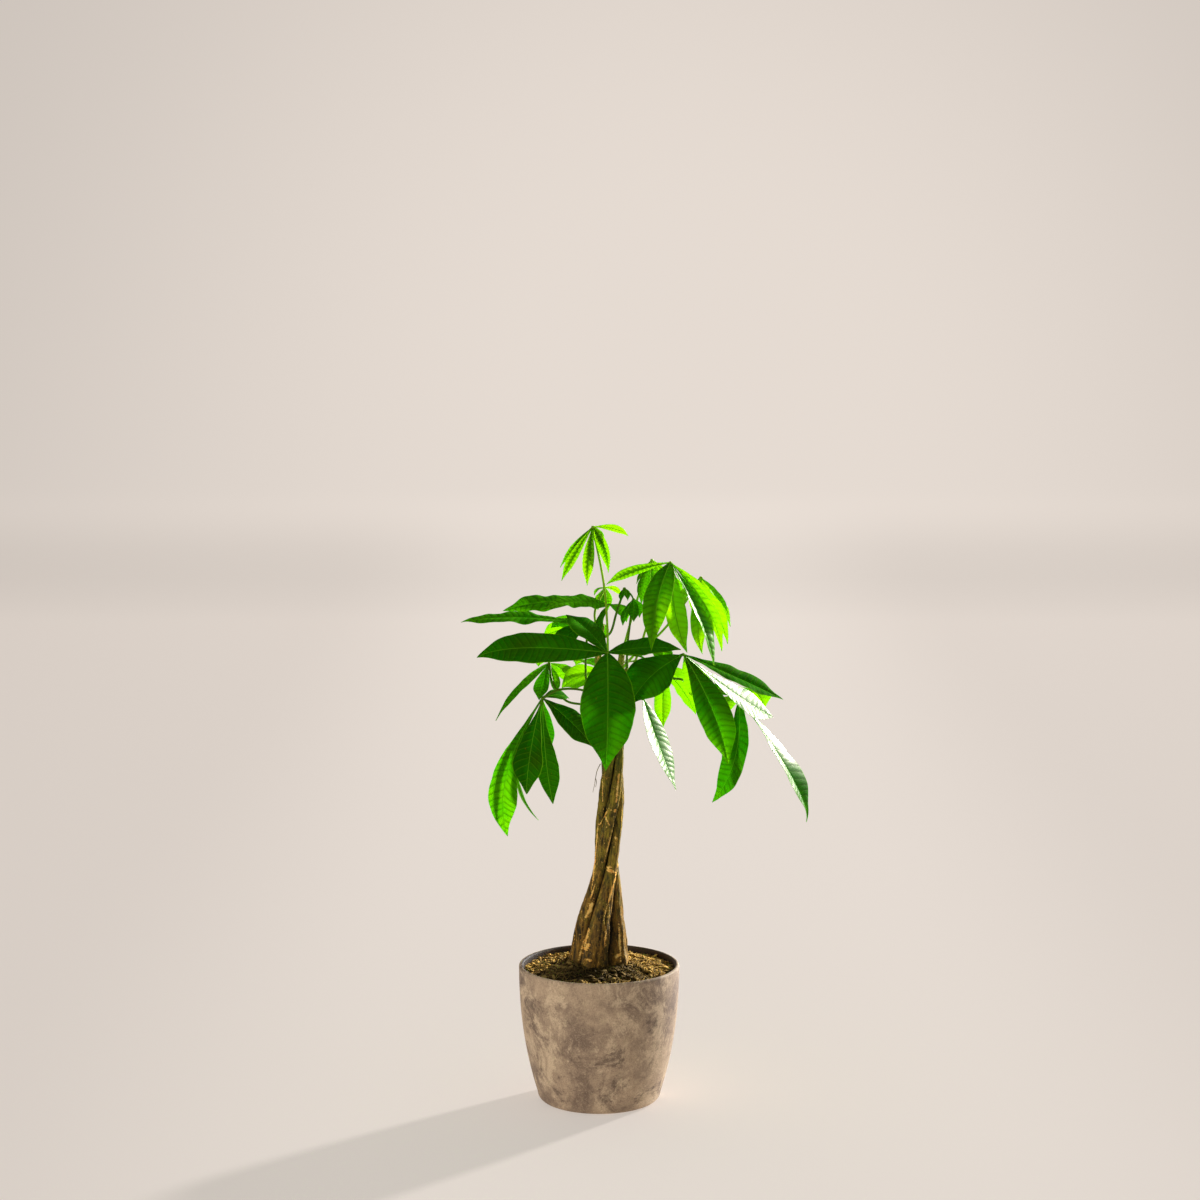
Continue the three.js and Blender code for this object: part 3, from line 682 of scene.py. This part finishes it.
def bark_material():
    """Brown at the foot, olive further up, cracked along the stem, golden where the bark has flaked off.
    Golden marks along some ridges and edges are painted highlight, and the dark in grooves and between stems
    is painted shade.
    """
    t = Tree("bark")
    height = t.apart(t.place())[2]
    streaks = t.noise((240, 240, 60), 8, 0.7, 0.5)
    cracks = t.noise((800, 800, 150), 4, 0.65, 0.5)
    patches = t.noise((70, 70, 45), 5, 0.65, 0.3)
    flakes = t.noise((230, 230, 120), 5, 0.65, 1)
    specks = t.noise((420, 420, 260), 3, 0.6)
    brown = t.mix(t.ramp(streaks, 0.34, 0.66), rgb(34, 27, 7), rgb(148, 110, 38))
    olive = t.mix(t.ramp(streaks, 0.34, 0.66), rgb(50, 46, 9), rgb(156, 134, 38))
    golden = t.mix(t.ramp(streaks, 0.35, 0.65), rgb(236, 164, 66), rgb(255, 218, 128))
    young = t.math("ADD", t.ramp(height, 0.17, 0.33), t.ramp(patches, 0.35, 0.65, -0.5, 0.4))
    tone = t.value("tone")
    ragged = t.math("ADD", tone, t.math("MULTIPLY_ADD", flakes, 2.4, -1.2))
    colour = t.cover(
        brown,
        (t.clamp(young), olive),
        (t.ramp(height, 0.36, 0.44, 0, 0.8), rgb(116, 140, 24)),
        (t.ramp(cracks, 0.52, 0.68, 0, 0.75), rgb(34, 26, 5)),
        (t.ramp(patches, 0.5, 0.7, 0, 0.45), rgb(62, 60, 12)),
        (t.ramp(flakes, 0.61, 0.66, 0, 0.7), rgb(196, 142, 50)),
        (t.ramp(specks, 0.65, 0.69, 0, 0.8), rgb(236, 188, 96)),
        # Golden where tone and flakes run high: flaked bark, and on some ridges and edges painted highlight.
        (t.ramp(ragged, 0.3, 0.75, 0, 0.95), golden),
        # Nearly black where tone is below 0: painted shade in the grooves and between stems, and scattered
        # dark patches behind.
        (t.ramp(tone, -1, 0, 1, 0), rgb(14, 9, 2)),
    )
    relief = t.bumps((streaks, 0.8, 0.0022), (cracks, 0.5, 0.001), (flakes, 0.5, 0.0012))
    return t.finish(t.surface(colour, 0.66, 0.25, normal=relief))


def pot_material():
    """Cast stone: broad clouds with sponged edges, dark blots, fine grain and short scratches, and painted
    shade on the inside wall.
    """
    t = Tree("pot")
    clouds = t.noise(13, 14, 0.74, 0.25)
    sponged = t.noise((27, 27, 18.9), 14, 0.8, 0.5)
    blots = t.noise((19, 19, 22.8), 14, 0.78, 0.4)
    fine = t.noise(95, 12, 0.8, 0.6)
    grain = t.noise(700, 3, 0.7)
    scratch = t.noise((90, 90, 500), 2, 0.5, 1.6)
    colour = t.cover(
        t.mix(t.ramp(clouds, 0.38, 0.6), rgb(126, 105, 87), rgb(182, 157, 129)),
        (t.ramp(sponged, 0.49, 0.6, 0, 0.8), rgb(214, 189, 156)),
        (t.ramp(blots, 0.52, 0.62, 0, 0.8), rgb(98, 80, 67)),
        (t.ramp(sponged, 0.36, 0.45, 0.5, 0), rgb(112, 92, 76)),
        (t.ramp(fine, 0.52, 0.62, 0, 0.4), rgb(208, 184, 150)),
        (t.ramp(fine, 0.36, 0.46, 0.45, 0), rgb(104, 85, 70)),
        (t.ramp(grain, 0.5, 0.7, 0, 0.5), rgb(100, 81, 66)),
        (t.ramp(grain, 0.3, 0.42, 0.35, 0), rgb(222, 198, 165)),
        (t.ramp(scratch, 0.7, 0.78, 0, 0.35), rgb(226, 205, 175)),
        # Dark brown on the inside wall: painted shade.
        (t.times(t.value("tone"), 0.95), rgb(40, 27, 13)),
    )
    relief = t.bumps((grain, 0.3, 0.0004), (sponged, 0.25, 0.0008))
    return t.finish(t.surface(colour, t.ramp(clouds, 0.3, 0.7, 0.6, 0.8), 0.3, normal=relief))


def soil_material():
    """Dry crumbs, lighter in patches, and dark in front of the stems as a painted shadow of the stems."""
    t = Tree("soil")
    crumbs = t.noise(210, 6, 0.7)
    # Painted shadow of the stems on the soil in front of them.
    painted_stem_shadow = t.far((-0.1, 0.95, 0), (18, 26, 0))
    colour = t.cover(
        t.mix(t.ramp(crumbs, 0.36, 0.66), rgb(14, 9, 2), rgb(120, 94, 46)),
        (t.ramp(t.noise(32, 3, 0.6), 0.45, 0.62, 0, 0.45), rgb(146, 118, 62)),
        # Golden where the tone is high: on chips, painted light in broad patches and random tone; on fibres,
        # random tone.
        (t.value("tone"), rgb(224, 188, 108)),
        (t.ramp(painted_stem_shadow, 0.5, 1.3, 0.75, 0), rgb(20, 14, 4)),
    )
    return t.finish(t.surface(colour, 0.9, 0.15, normal=t.bumps((crumbs, 0.9, 0.002))))


# Leaves.


def mid_line(look, share):
    """A leaflet's curve from its hub, and at each point of it the ways along, sideways and up."""
    reach = np.array(look.to, float)
    left = np.cross([0, 0, 1], unit(reach * [1, 1, 0]))
    outwards = np.cross(unit(reach), left)
    pull = reach * look.lean + outwards * 2 * look.bow + left * 2 * look.sway
    line = 2 * ((1 - share) * share) * pull + share ** 2 * reach
    tangent = units(2 * (1 - share) * pull + 2 * share * (reach - pull))
    side = units(left - tangent * (tangent @ left)[:, None])
    side = turned(side, tangent, -np.radians(look.roll + look.twist * (share - 0.5)))
    return line, tangent, side, np.cross(tangent, side)


def half_width(look, share):
    outline = np.sin(np.pi * share ** (math.log(0.5) / math.log(look.peak))) ** 0.92
    outline = outline * (1 - 0.32 * smooth(0.7, 0.95, share))
    return np.maximum(look.wide * outline, BLADE_FOOT * (1 - share) + BLADE_TIP * share) / 2


def blade_rise(look, share, swing, phase, cell, size):
    """How far a blade rises from its flat sheet: folded, arched, puckered, and wavy along its margins."""
    quiet = smooth(0.03, 0.2, AWAY) * (1 - smooth(0.82, 1.0, AWAY)) * np.minimum(1, size / 7)
    pucker = (cell ** 0.7 - 0.6) * quiet * look.pucker * min(0.5, 0.015 * look.wide)
    bulge = look.bulge * size * np.sin(np.pi * AWAY)
    ripple = np.where(ACROSS > 0,
                      0.7 * np.sin(swing + phase[1]) + 0.3 * np.sin(1.9 * swing + phase[2]),
                      0.7 * np.sin(0.87 * swing + phase[2]) + 0.3 * np.sin(2.2 * swing + phase[1]))
    envelope = np.sin(np.pi * share) ** 0.6
    wave = look.wave * (0.35 + look.wide / 36) * ripple * AWAY ** 2 * envelope
    fold = look.fold + (look.fold_tip - look.fold) * share ** 2
    return fold * (AWAY * size) + bulge + pucker + wave


def leaflet_skin(shape, hub, leaflet, chance, young):
    """One leaflet: a thin closed blade with a raised rib below, puckered between its side veins."""
    look = SimpleNamespace(**{**PLAIN_BLADE, "tone": 0.5 if young else 0.2, **leaflet})
    look.fold_tip = leaflet.get("fold_tip", look.fold)
    length = np.linalg.norm(np.array(look.to, float)) * 1.04
    steps = int(max(FEWEST_RINGS, min(MOST_RINGS, length / RING_STEP)))
    share = np.linspace(0, 1, steps + 1)[:, None]
    line, tangent, side, face = mid_line(look, share)
    line = line + hub
    along = lengths(line)[:, None]
    size = half_width(look, share)
    distance = AWAY * size
    phase = chance.uniform(0, 6.28, 5)

    spacing = min(max(length / VEINS, CLOSEST_VEINS), WIDEST_VEINS)
    jitter = 0.18 * np.sin(along / spacing * 1.3 + phase[0])
    vein_at = along / spacing + jitter + 0.25 * np.tanh(ACROSS / 0.08)
    ratio = distance / spacing
    cell = np.abs(np.sin(np.pi * (vein_at - VEIN_LEAN * ratio - VEIN_BEND * ratio ** 2)))

    swing = FULL_TURN * along / max(24.0, length / 3)
    rise = blade_rise(look, share, swing, phase, cell, size)
    nick = 1 + 0.012 * np.sin(along / 5.1 + phase[3]) + 0.006 * np.sin(along / 2.3 + phase[4])
    sheet = line[:, None, :] + side[:, None, :] * (ACROSS * size * nick)[..., None]
    groove = 0.25 * np.exp(-(distance / 0.9) ** 2) * (1 - 0.7 * share)
    keel = 0.95 * np.exp(-(distance / 0.8) ** 2) * (1 - 0.75 * share)
    top = sheet + face[:, None, :] * (rise + BLADE_THICK / 2 - groove)[..., None]
    below = sheet + face[:, None, :] * (rise - BLADE_THICK / 2 - keel)[..., None]
    rings = np.concatenate([top, below[:, ::-1]], axis=1)
    if look.tail:
        push = np.clip((share - 0.9) / 0.1, 0, 1) ** 1.5
        rings += (tangent * (push * look.tail) + side * (push ** 2 * look.curl))[:, None, :]

    maps = {"veins": (vein_at, ACROSS * size / spacing), "spread": (share, ACROSS)}
    for title, pair in maps.items():
        values = np.stack(np.broadcast_arrays(*pair), axis=-1)
        maps[title] = np.concatenate([values, values[:, ::-1]], axis=1)
    slots = [GLOSSY if look.shine else ABOVE] * ACROSS.size + [BELOW] * ACROSS.size
    # Tone grows towards the tip by fade: painted light.
    shape.add(rings, slots, maps, tone=look.tone + look.fade * share, core=look.core)


def tube_skin(shape, line, radii, sides, slot, tone=0.0):
    shape.add(tube_rings(line, radii[:, None], angles(sides)), slot, tone=tone)


def leaf_piece(name, leaf, line, top, materials, young):
    """A whole leaf: the stalk from its stem, the hub and the leaflets."""
    seat = np.array([np.interp(leaf.root, line[:, 2], line[:, k]) for k in range(3)])
    way = leaf.via[0] - seat
    if leaf.root < top - TOP_ZONE:
        way[2] = min(way[2], math.hypot(way[0], way[1]) * STALK_MAX_SLOPE)
    start = seat + unit(way) * (stem_radius(leaf.root, top) - STALK_BITE)
    stalk = catmull([start, *leaf.via, leaf.hub], STALK_STEPS)
    share = np.linspace(0, 1, STALK_STEPS + 1)
    swelling = np.maximum.reduce([1 - share * 6, 1 - (1 - share) * 9, 0 * share])
    radii = STALK_RADIUS + (STALK_END_RADIUS - STALK_RADIUS) * swelling
    chance = np.random.default_rng(sum(map(ord, name)))
    shape = Shape()
    tube_skin(shape, stalk, radii, STALK_SIDES, STALK, 0.9 if young else 0.25)
    ball = ball_rings(9, 14) * [HUB_RADIUS, HUB_RADIUS, 0.8 * HUB_RADIUS]
    shape.add(ball + leaf.hub, STALK, tone=0.9 if young else 0.4)
    for leaflet in leaf.leaflets:
        leaflet_skin(shape, leaf.hub, leaflet, chance, young)
    piece = shape.build(name + "_fine", materials)
    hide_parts(name)
    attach(piece, "root")


# Stems.


def stem_radius(height, top):
    tapered = smooth(TWIST_START, TAPER_TO, height)
    radius = BASE_STEM_RADIUS + (MID_STEM_RADIUS - BASE_STEM_RADIUS) * tapered
    thinned = np.clip((height - THIN_FROM) / (top - THIN_FROM), 0, 1)
    return radius + (TIP_STEM_RADIUS - radius) * thinned


def stem_line(turn, above):
    """A stem's middle: one strand of the twist, and on through the points above it."""
    top = above[-1][2]
    points = []
    for height in range(TWIST_START - HOLE_DEPTH, TWIST_END + 1, 15):
        turned_by = math.radians(turn + np.interp(height, *zip(*TWIST)))
        spread = math.sqrt(2) * (stem_radius(height, top) * STEM_SPACING + SEAT_GAP)
        x = np.interp(height, *zip(*TRUNK_LINE)) + spread * math.cos(turned_by)
        points.append([x, spread * math.sin(turned_by), height])
    return catmull(points + above, STEM_STEPS)


def mark_tones(points, line):
    """How golden or dark each of a stem's points is: the marks in front, some of them painted highlight
    and painted shade, and scattered ones behind.
    """
    away = points - line[:, None, :]
    front = away[..., 1] < 0.35 * np.hypot(away[..., 0], away[..., 1])
    tones = np.zeros(front.shape)
    aside, height = points[..., 0], points[..., 2]
    ragged = 0.35 * np.sin(height * 2.1 + aside * 1.3) + 0.25 * np.sin(height * 0.9)
    for x, z, wide, tall, lean, strength in MARKS:
        across = (aside - x - lean * (height - z)) / wide
        inside = np.clip(1.6 - np.hypot(across, (height - z) / tall) + ragged, 0, 1)
        tones += inside * strength * front
    chance = np.random.default_rng(int(line[0, 0] * 10) % 97)
    for _ in range(MARKS_BEHIND):
        row, column = chance.integers(60, 240), chance.integers(0, points.shape[1])
        gone = np.linalg.norm((points - points[row, column]) / [1.6, 1.6, 4.5], axis=2)
        tones += np.clip(1.5 - gone + ragged, 0, 1) * chance.choice([0.8, -0.7]) * ~front
    return tones


def painted_groove_shade(points, others):
    """How far each point lies in the groove between its stem and another, from 0 to 1, as painted shade."""
    dark = np.zeros(points.shape[:2])
    height = points[..., 2]
    for line, top in others:
        centre = np.stack([np.interp(height, line[:, 2], line[:, k]) for k in (0, 1)], axis=-1)
        gap = np.linalg.norm(points[..., :2] - centre, axis=-1) - stem_radius(height, top)
        near = np.clip(1.15 - gap / (0.5 * stem_radius(height, top) + 0.9), 0, 1) ** 1.4
        dark = np.maximum(dark, near * (height < TWIST_END + 20))
    return dark


def stem_piece(name, lines, bark):
    """A stem with long ridges, low lumps, marks and rings where old leaves fell. The marks are flaked bark,
    painted highlight and painted shade, and the grooves between stems get painted shade too.
    """
    line, top = lines[name]
    turn = math.radians(STEMS[name]["turn"])
    angle = angles(STEM_SIDES)
    height = line[:, 2][:, None]
    ridges = (0.05 * np.sin(5 * angle + turn + 0.012 * height)
              + 0.03 * np.sin(9 * angle + 2.1 * turn - 0.02 * height)
              + 0.02 * np.sin(16 * angle + 1.3 + 0.05 * height))
    lumps = np.array([[noise.fractal((math.cos(a) + 3 * turn, math.sin(a), z * 0.045), 0.8, 2.0, 5)
                       for a in angle] for z in line[:, 2]])
    from_scar = height - SCAR_SPACING * np.round(height / SCAR_SPACING)
    scars = 0.07 * np.exp(-(from_scar / 1.5) ** 2) * smooth(290, THIN_FROM, height)
    swell = 0.16 * (1 - smooth(TWIST_START, 176, height)) * (1 + 0.6 * np.sin(3 * angle + turn))
    bare = stem_radius(line[:, 2], top)[:, None]
    radii = bare * (1.015 + 0.8 * ridges + 0.1 * lumps + scars + swell) + 0.3
    radii[-1] *= 0.6
    points = tube_rings(line, radii, angle)
    marks = np.clip(mark_tones(points, line), -1, 1)
    points += (points - line[:, None, :]) / radii[..., None] * (0.5 * marks)[..., None]
    # The marks' tones, darkened by painted shade in the grooves between stems.
    tones = marks - painted_groove_shade(points, [lines[other] for other in lines if other != name])
    shape = Shape()
    shape.add(points, tone=np.clip(tones, -1, 1))
    if name == "stem_front":
        for route in DRY_FIBRES:
            tube_skin(shape, catmull(route, 14), np.linspace(0.45, 0.2, 15), 6, 0)
    piece = shape.build(name + "_fine", [bark], 60)
    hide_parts(name)
    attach(piece, "root")


# Pot and soil.


def wall_radius(height):
    return FOOT_RADIUS + (RIM_RADIUS - FOOT_RADIUS) * (1 - (1 - height / POT_HEIGHT) ** POT_BELLY)


def pot_piece(material):
    """The pot, from the middle of its foot up the outside, over the lip and down inside."""
    lip = WALL / 2
    foot = wall_radius(FOOT_ROUND)
    quarter = [math.radians(a) for a in range(0, 91, 10)]
    half = [math.radians(a) for a in range(0, 181, 15)]
    profile = [(0.5, 0.0), (foot - FOOT_ROUND - 3, 0.0)]
    profile += [(foot - FOOT_ROUND * (1 - math.sin(a)), FOOT_ROUND * (1 - math.cos(a))) for a in quarter]
    profile += [(wall_radius(h), h) for h in np.linspace(FOOT_ROUND + 3, POT_HEIGHT - lip - 3, 40)]
    profile += [(RIM_RADIUS - lip + lip * math.cos(a), POT_HEIGHT - lip + lip * math.sin(a)) for a in half]
    profile += [(wall_radius(h) - WALL, h) for h in np.linspace(POT_HEIGHT - lip - 3, 26, 20)]
    profile += [(foot - WALL - 3, POT_FLOOR), (0.5, POT_FLOOR)]
    rings = lathe_rings(profile, POT_SIDES)
    out = np.hypot(rings[..., 0], rings[..., 1])
    outside = out > wall_radius(np.minimum(rings[..., 2], POT_HEIGHT)) - lip
    # The inside wall gets tone 1, for the material's painted shade there.
    inside = (out < RIM_RADIUS - 0.55 * WALL) & (rings[..., 2] > FOOT_ROUND) & ~outside
    shape = Shape()
    shape.add(rings, tone=inside)
    piece = shape.build("pot_fine", [material], 50)
    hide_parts("pot")
    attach(piece, "root")


def soil_height(x, y):
    out = math.hypot(x, y) / RIM_RADIUS
    mound = SOIL_MOUND * (1 - float(smooth(0.3, 0.92, out)))
    lumps = math.sin(x / 6.1 + 1.3) * math.cos(y / 7.3) + 0.6 * math.sin((x + y) / 3.7)
    return SOIL_EDGE + mound + SOIL_LUMP * lumps * (1 - out ** 6)


def soil_radius(height):
    return wall_radius(height) - WALL - SEAT_GAP * 1.1


def soil_piece(material):
    """The soil's body with a crumbly top."""
    bottom = POT_FLOOR + SEAT_GAP
    shares = np.linspace(1, 0.004, 84)
    profile = [(0.3, bottom), (wall_radius(FOOT_ROUND) - WALL - 4, bottom)]
    profile += [(soil_radius(h), h) for h in np.linspace(30, SOIL_EDGE - 3, 8)]
    profile += [(soil_radius(SOIL_EDGE) * share, SOIL_EDGE) for share in shares]
    rings = lathe_rings(profile, SOIL_SIDES)
    for point in rings[-len(shares):].reshape(-1, 3):
        crumb = noise.fractal((point[0] * 0.16, point[1] * 0.16, 1.7), 0.75, 2.1, 5)
        point[2] = soil_height(point[0], point[1]) + 1.7 * crumb
    shape = Shape()
    shape.add(rings)
    piece = shape.build("soil_fine", [material], 70)
    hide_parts("soil")
    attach(piece, "root")


def soil_spot(chance, edge, low, high):
    """A place on the soil, between two shares of its area from the middle."""
    out = edge * math.sqrt(chance.uniform(low, high))
    angle = chance.uniform(0, FULL_TURN)
    return out * math.cos(angle), out * math.sin(angle)


def soil_bit(shape, chance, edge, rings, low, high, flat):
    """A small rough chip or crumb, tipped and turned at random. Its tone is lighter in broad patches,
    as painted light, and varies at random.
    """
    x, y = soil_spot(chance, edge - 1.5, 0.03, 0.99)
    size = low + (high - low) * chance.uniform(0, 1) ** 2.2
    radii = np.array([size, size * chance.uniform(0.35, 0.85), size * flat])
    # Broad patches of lighter tone: painted light on the soil.
    patch = 0.35 * math.sin(x / 13 + 0.6) * math.cos(y / 11 - 0.9) + 0.16
    tone = min(max(patch + chance.normal(0.1, 0.22), 0.0), 0.95)
    points = ball_rings(rings + 1, 7) * chance.uniform(0.7, 1.25, (rings, 7, 1)) * radii
    heading, tip = chance.uniform(0, 6.28), chance.normal(0, 0.45)
    tipped = np.array([[math.cos(tip), 0, math.sin(tip)], [0, 1, 0], [-math.sin(tip), 0, math.cos(tip)]])
    headed = np.array([[math.cos(heading), -math.sin(heading), 0],
                       [math.sin(heading), math.cos(heading), 0],
                       [0, 0, 1]])
    shape.add(points @ tipped.T @ headed.T + [x, y, soil_height(x, y) + 0.9 * radii[2]], tone=tone)


def soil_fibre(shape, chance, edge):
    """A thin, bent fibre on the soil, left out where it would reach past the edge."""
    middle_x, middle_y = soil_spot(chance, edge, 0.08, 0.93)
    heading = chance.uniform(0, FULL_TURN)
    length = chance.uniform(4, 15)
    bend = chance.uniform(-0.35, 0.35)
    line = []
    for share in np.linspace(-0.5, 0.5, 6):
        x = middle_x + length * share * math.cos(heading + bend * share * 3)
        y = middle_y + length * share * math.sin(heading + bend * share * 3)
        line.append([x, y, soil_height(x, y) + 1.0 + chance.uniform(0, 0.9)])
    line = np.array(line)
    if np.hypot(line[:, 0], line[:, 1]).max() < edge - 1:
        radii = np.full(6, chance.uniform(0.15, 0.4))
        tube_skin(shape, line, radii, 5, 0, chance.uniform(0.2, 0.9))


def crumbs_piece(material):
    """Loose chips, crumbs and fibres on the soil."""
    chance = np.random.default_rng(5)
    edge = soil_radius(SOIL_EDGE)
    shape = Shape()
    for count, *kind in SOIL_BITS:
        for _ in range(count):
            soil_bit(shape, chance, edge, *kind)
    for _ in range(SOIL_FIBRES):
        soil_fibre(shape, chance, edge)
    piece = shape.build("soil_crumbs", [material], 80)
    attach(piece, "root")


# Floor, light and camera, in metres.


def floor_material():
    """Pale floor, and behind it a wall that glows evenly, a little dimmer far from the plant."""
    t = Tree("floor")
    black = (0.0, 0.0, 0.0, 1)
    x, _, z = t.apart(t.place())
    colour = t.mix(t.ramp(z, 0, 0.25), (0.53, 0.485, 0.455, 1), (0.02, 0.02, 0.02, 1))
    dim = t.ramp(t.far((-0.15, -0.42, -0.3), (0.5, 0.06, 0.5)), 0.2, 1.5)
    aside = t.ramp(t.math("ABSOLUTE", t.math("SUBTRACT", x, 0.08)), 0.3, 0.85)
    glow = t.cover(
        t.mix(t.ramp(z, 0, 0.21), (0.462, 0.428, 0.391, 1), (0.775, 0.697, 0.633, 1)),
        (t.times(dim, 0.22), black),
        (t.times(aside, t.ramp(z, 0, 0.25, 0.16, 0)), black),
    )
    return t.finish(t.surface(colour, 0.9, 0.1, emission_color=glow, emission_strength=1.0))


def stage():
    """One pale sweep: a floor that curves up into a wall far behind the plant."""
    profile = [(FLOOR_FRONT, 0.0), (FLOOR_BACK, 0.0)]
    for step in range(1, 19):
        angle = math.radians(5 * step)
        profile.append((FLOOR_BACK + FLOOR_BEND * math.sin(angle), FLOOR_BEND * (1 - math.cos(angle))))
    profile.append((FLOOR_BACK + FLOOR_BEND, FLOOR_TOP))
    points = [(x, y, z) for y, z in profile for x in (-FLOOR_SIDE, FLOOR_SIDE)]
    faces = [(2 * i, 2 * i + 1, 2 * i + 3, 2 * i + 2) for i in range(len(profile) - 1)]
    mesh = bpy.data.meshes.new("floor")
    mesh.from_pydata(points, [], faces)
    mesh.shade_smooth()
    mesh.materials.append(floor_material())
    floor = put("floor", mesh)
    floor.visible_shadow = False


def group(name, words):
    """A collection of the pieces whose names start with one of the words."""
    made = bpy.data.collections.new(name)
    for thing in bpy.context.scene.objects:
        if thing.type == "MESH" and thing.name.startswith(words):
            made.objects.link(thing)
    return made


def sun(name, strength, colour, width, lit=None, blockers=None):
    """The window's light. lit and blockers are what it lights and what shades it, if not all."""
    light = bpy.data.lights.new(name, "SUN")
    light.energy = strength
    light.color = colour
    light.angle = math.radians(width)
    lamp = put(name, light)
    lamp.rotation_euler = Vector(SUN_FROM).to_track_quat("Z", "Y").to_euler()
    if lit is not None:
        lamp.light_linking.receiver_collection = lit
    if blockers is not None:
        lamp.light_linking.blocker_collection = blockers


def fill(name, place, power, lit, colour=(1.0, 0.96, 0.91)):
    """A large, weak, soft lamp."""
    light = bpy.data.lights.new(name, "AREA")
    light.shape = "DISK"
    light.size = 2.2
    light.energy = power
    light.color = colour
    lamp = put(name, light)
    lamp.location = place
    lamp.rotation_euler = (lamp.location - Vector(FILL_AIM)).to_track_quat("Z", "Y").to_euler()
    lamp.light_linking.receiver_collection = lit


def lights():
    """A low, warm window light from behind on the right, and an even sky."""
    world = bpy.data.worlds.new("studio")
    bpy.context.scene.world = world
    world.use_nodes = True
    sky = world.node_tree.nodes["Background"].inputs
    sky[0].default_value = (1.0, 0.97, 0.94, 1)
    sky[1].default_value = 0.3
    pot = group("pot_only", ("pot",))
    open_leaves = group("open_leaves", OPEN_LEAVES)
    low = group("low", ("stem", "soil", "pot"))
    shaded = tuple(name for name in LEAVES if name not in OPEN_LEAVES)
    warm = (1.0, 0.93, 0.8)
    sun("window", 2.7, (1.0, 0.95, 0.93), 4)
    sun("window_on_leaves", 10.0, warm, 6, group("leaves", shaded))
    sun("window_on_open", 10.0, warm, 6, open_leaves, open_leaves)
    wood = group("wood", ("stem",))
    sun("window_on_wood", 12.0, (1.0, 0.84, 0.48), 3, wood, low)
    sun("window_on_soil", 15.0, (1.0, 0.85, 0.52), 3, group("earth", ("soil",)), low)
    sun("window_on_pot", 2.6, (1.0, 0.94, 0.88), 12, pot, pot)
    fill("fill_left", (-2.4, -1.6, 1.0), 38, pot)
    fill("fill_right", (1.8, 1.6, 0.7), 120, pot, (0.92, 0.95, 1.0))
    fill("fill_wood", (-2.3, -1.4, 0.8), 34, wood, (1.0, 0.9, 0.66))


def camera():
    data = bpy.data.cameras.new("camera")
    data.lens = CAMERA_LENS
    data.sensor_width = CAMERA_SENSOR
    data.sensor_fit = "HORIZONTAL"
    data.clip_end = 50
    made = put("camera", data)
    made.location = CAMERA_AT
    made.rotation_euler = (math.radians(90 - CAMERA_DOWN), 0, 0)
    bpy.context.scene.camera = made


def leaf_materials():
    """For a mature and for a young leaf: above, below, the stalk, and above on a glossy blade."""
    mature = dict(vein=rgb(96, 168, 18), rib=rgb(132, 206, 44), margin=rgb(136, 206, 28), net_depth=0.15,
                  glow=((0.17, 0.8, 0.003, 1), (0.6, 1.0, 0.03, 1)))
    young = dict(vein=rgb(120, 190, 30), rib=rgb(150, 220, 50), margin=rgb(190, 240, 60), net_depth=0.05,
                 glow=((0.22, 0.82, 0.01, 1), (0.66, 1.0, 0.03, 1)))
    dull = dict(rough=0.6, sheen=0.006)
    top = dict(mature, dark=rgb(34, 110, 1), light=rgb(80, 166, 4))
    stalk = stalk_material()
    glossy = leaf_material("glossy_leaf", rough=0.36, sheen=0.3, **top)
    above = leaf_material("leaf", **top, **dull)
    below = leaf_material("leaf_below", dark=rgb(56, 118, 4), light=rgb(100, 170, 14), **mature, **dull)
    young_above = leaf_material("young_leaf", dark=rgb(36, 124, 2), light=rgb(120, 204, 8), **young, **dull)
    young_below = leaf_material("young_leaf_below", dark=rgb(70, 144, 12), light=rgb(130, 204, 28),
                                **young, **dull)
    return [above, below, stalk, glossy], [young_above, young_below, stalk, glossy]


def plant():
    mature, young = leaf_materials()
    bark = bark_material()
    lines = {name: (stem_line(**spec), spec["above"][-1][2]) for name, spec in STEMS.items()}
    for name in STEMS:
        stem_piece(name, lines, bark)
    for name, leaf in LEAVES.items():
        is_young = name in YOUNG
        leaf_piece(name, leaf, *lines[leaf.stem], young if is_young else mature, is_young)
    pot_piece(pot_material())
    soil = soil_material()
    soil_piece(soil)
    crumbs_piece(soil)


bpy.context.scene.view_settings.view_transform = "Standard"
camera()
plant()
stage()
lights()
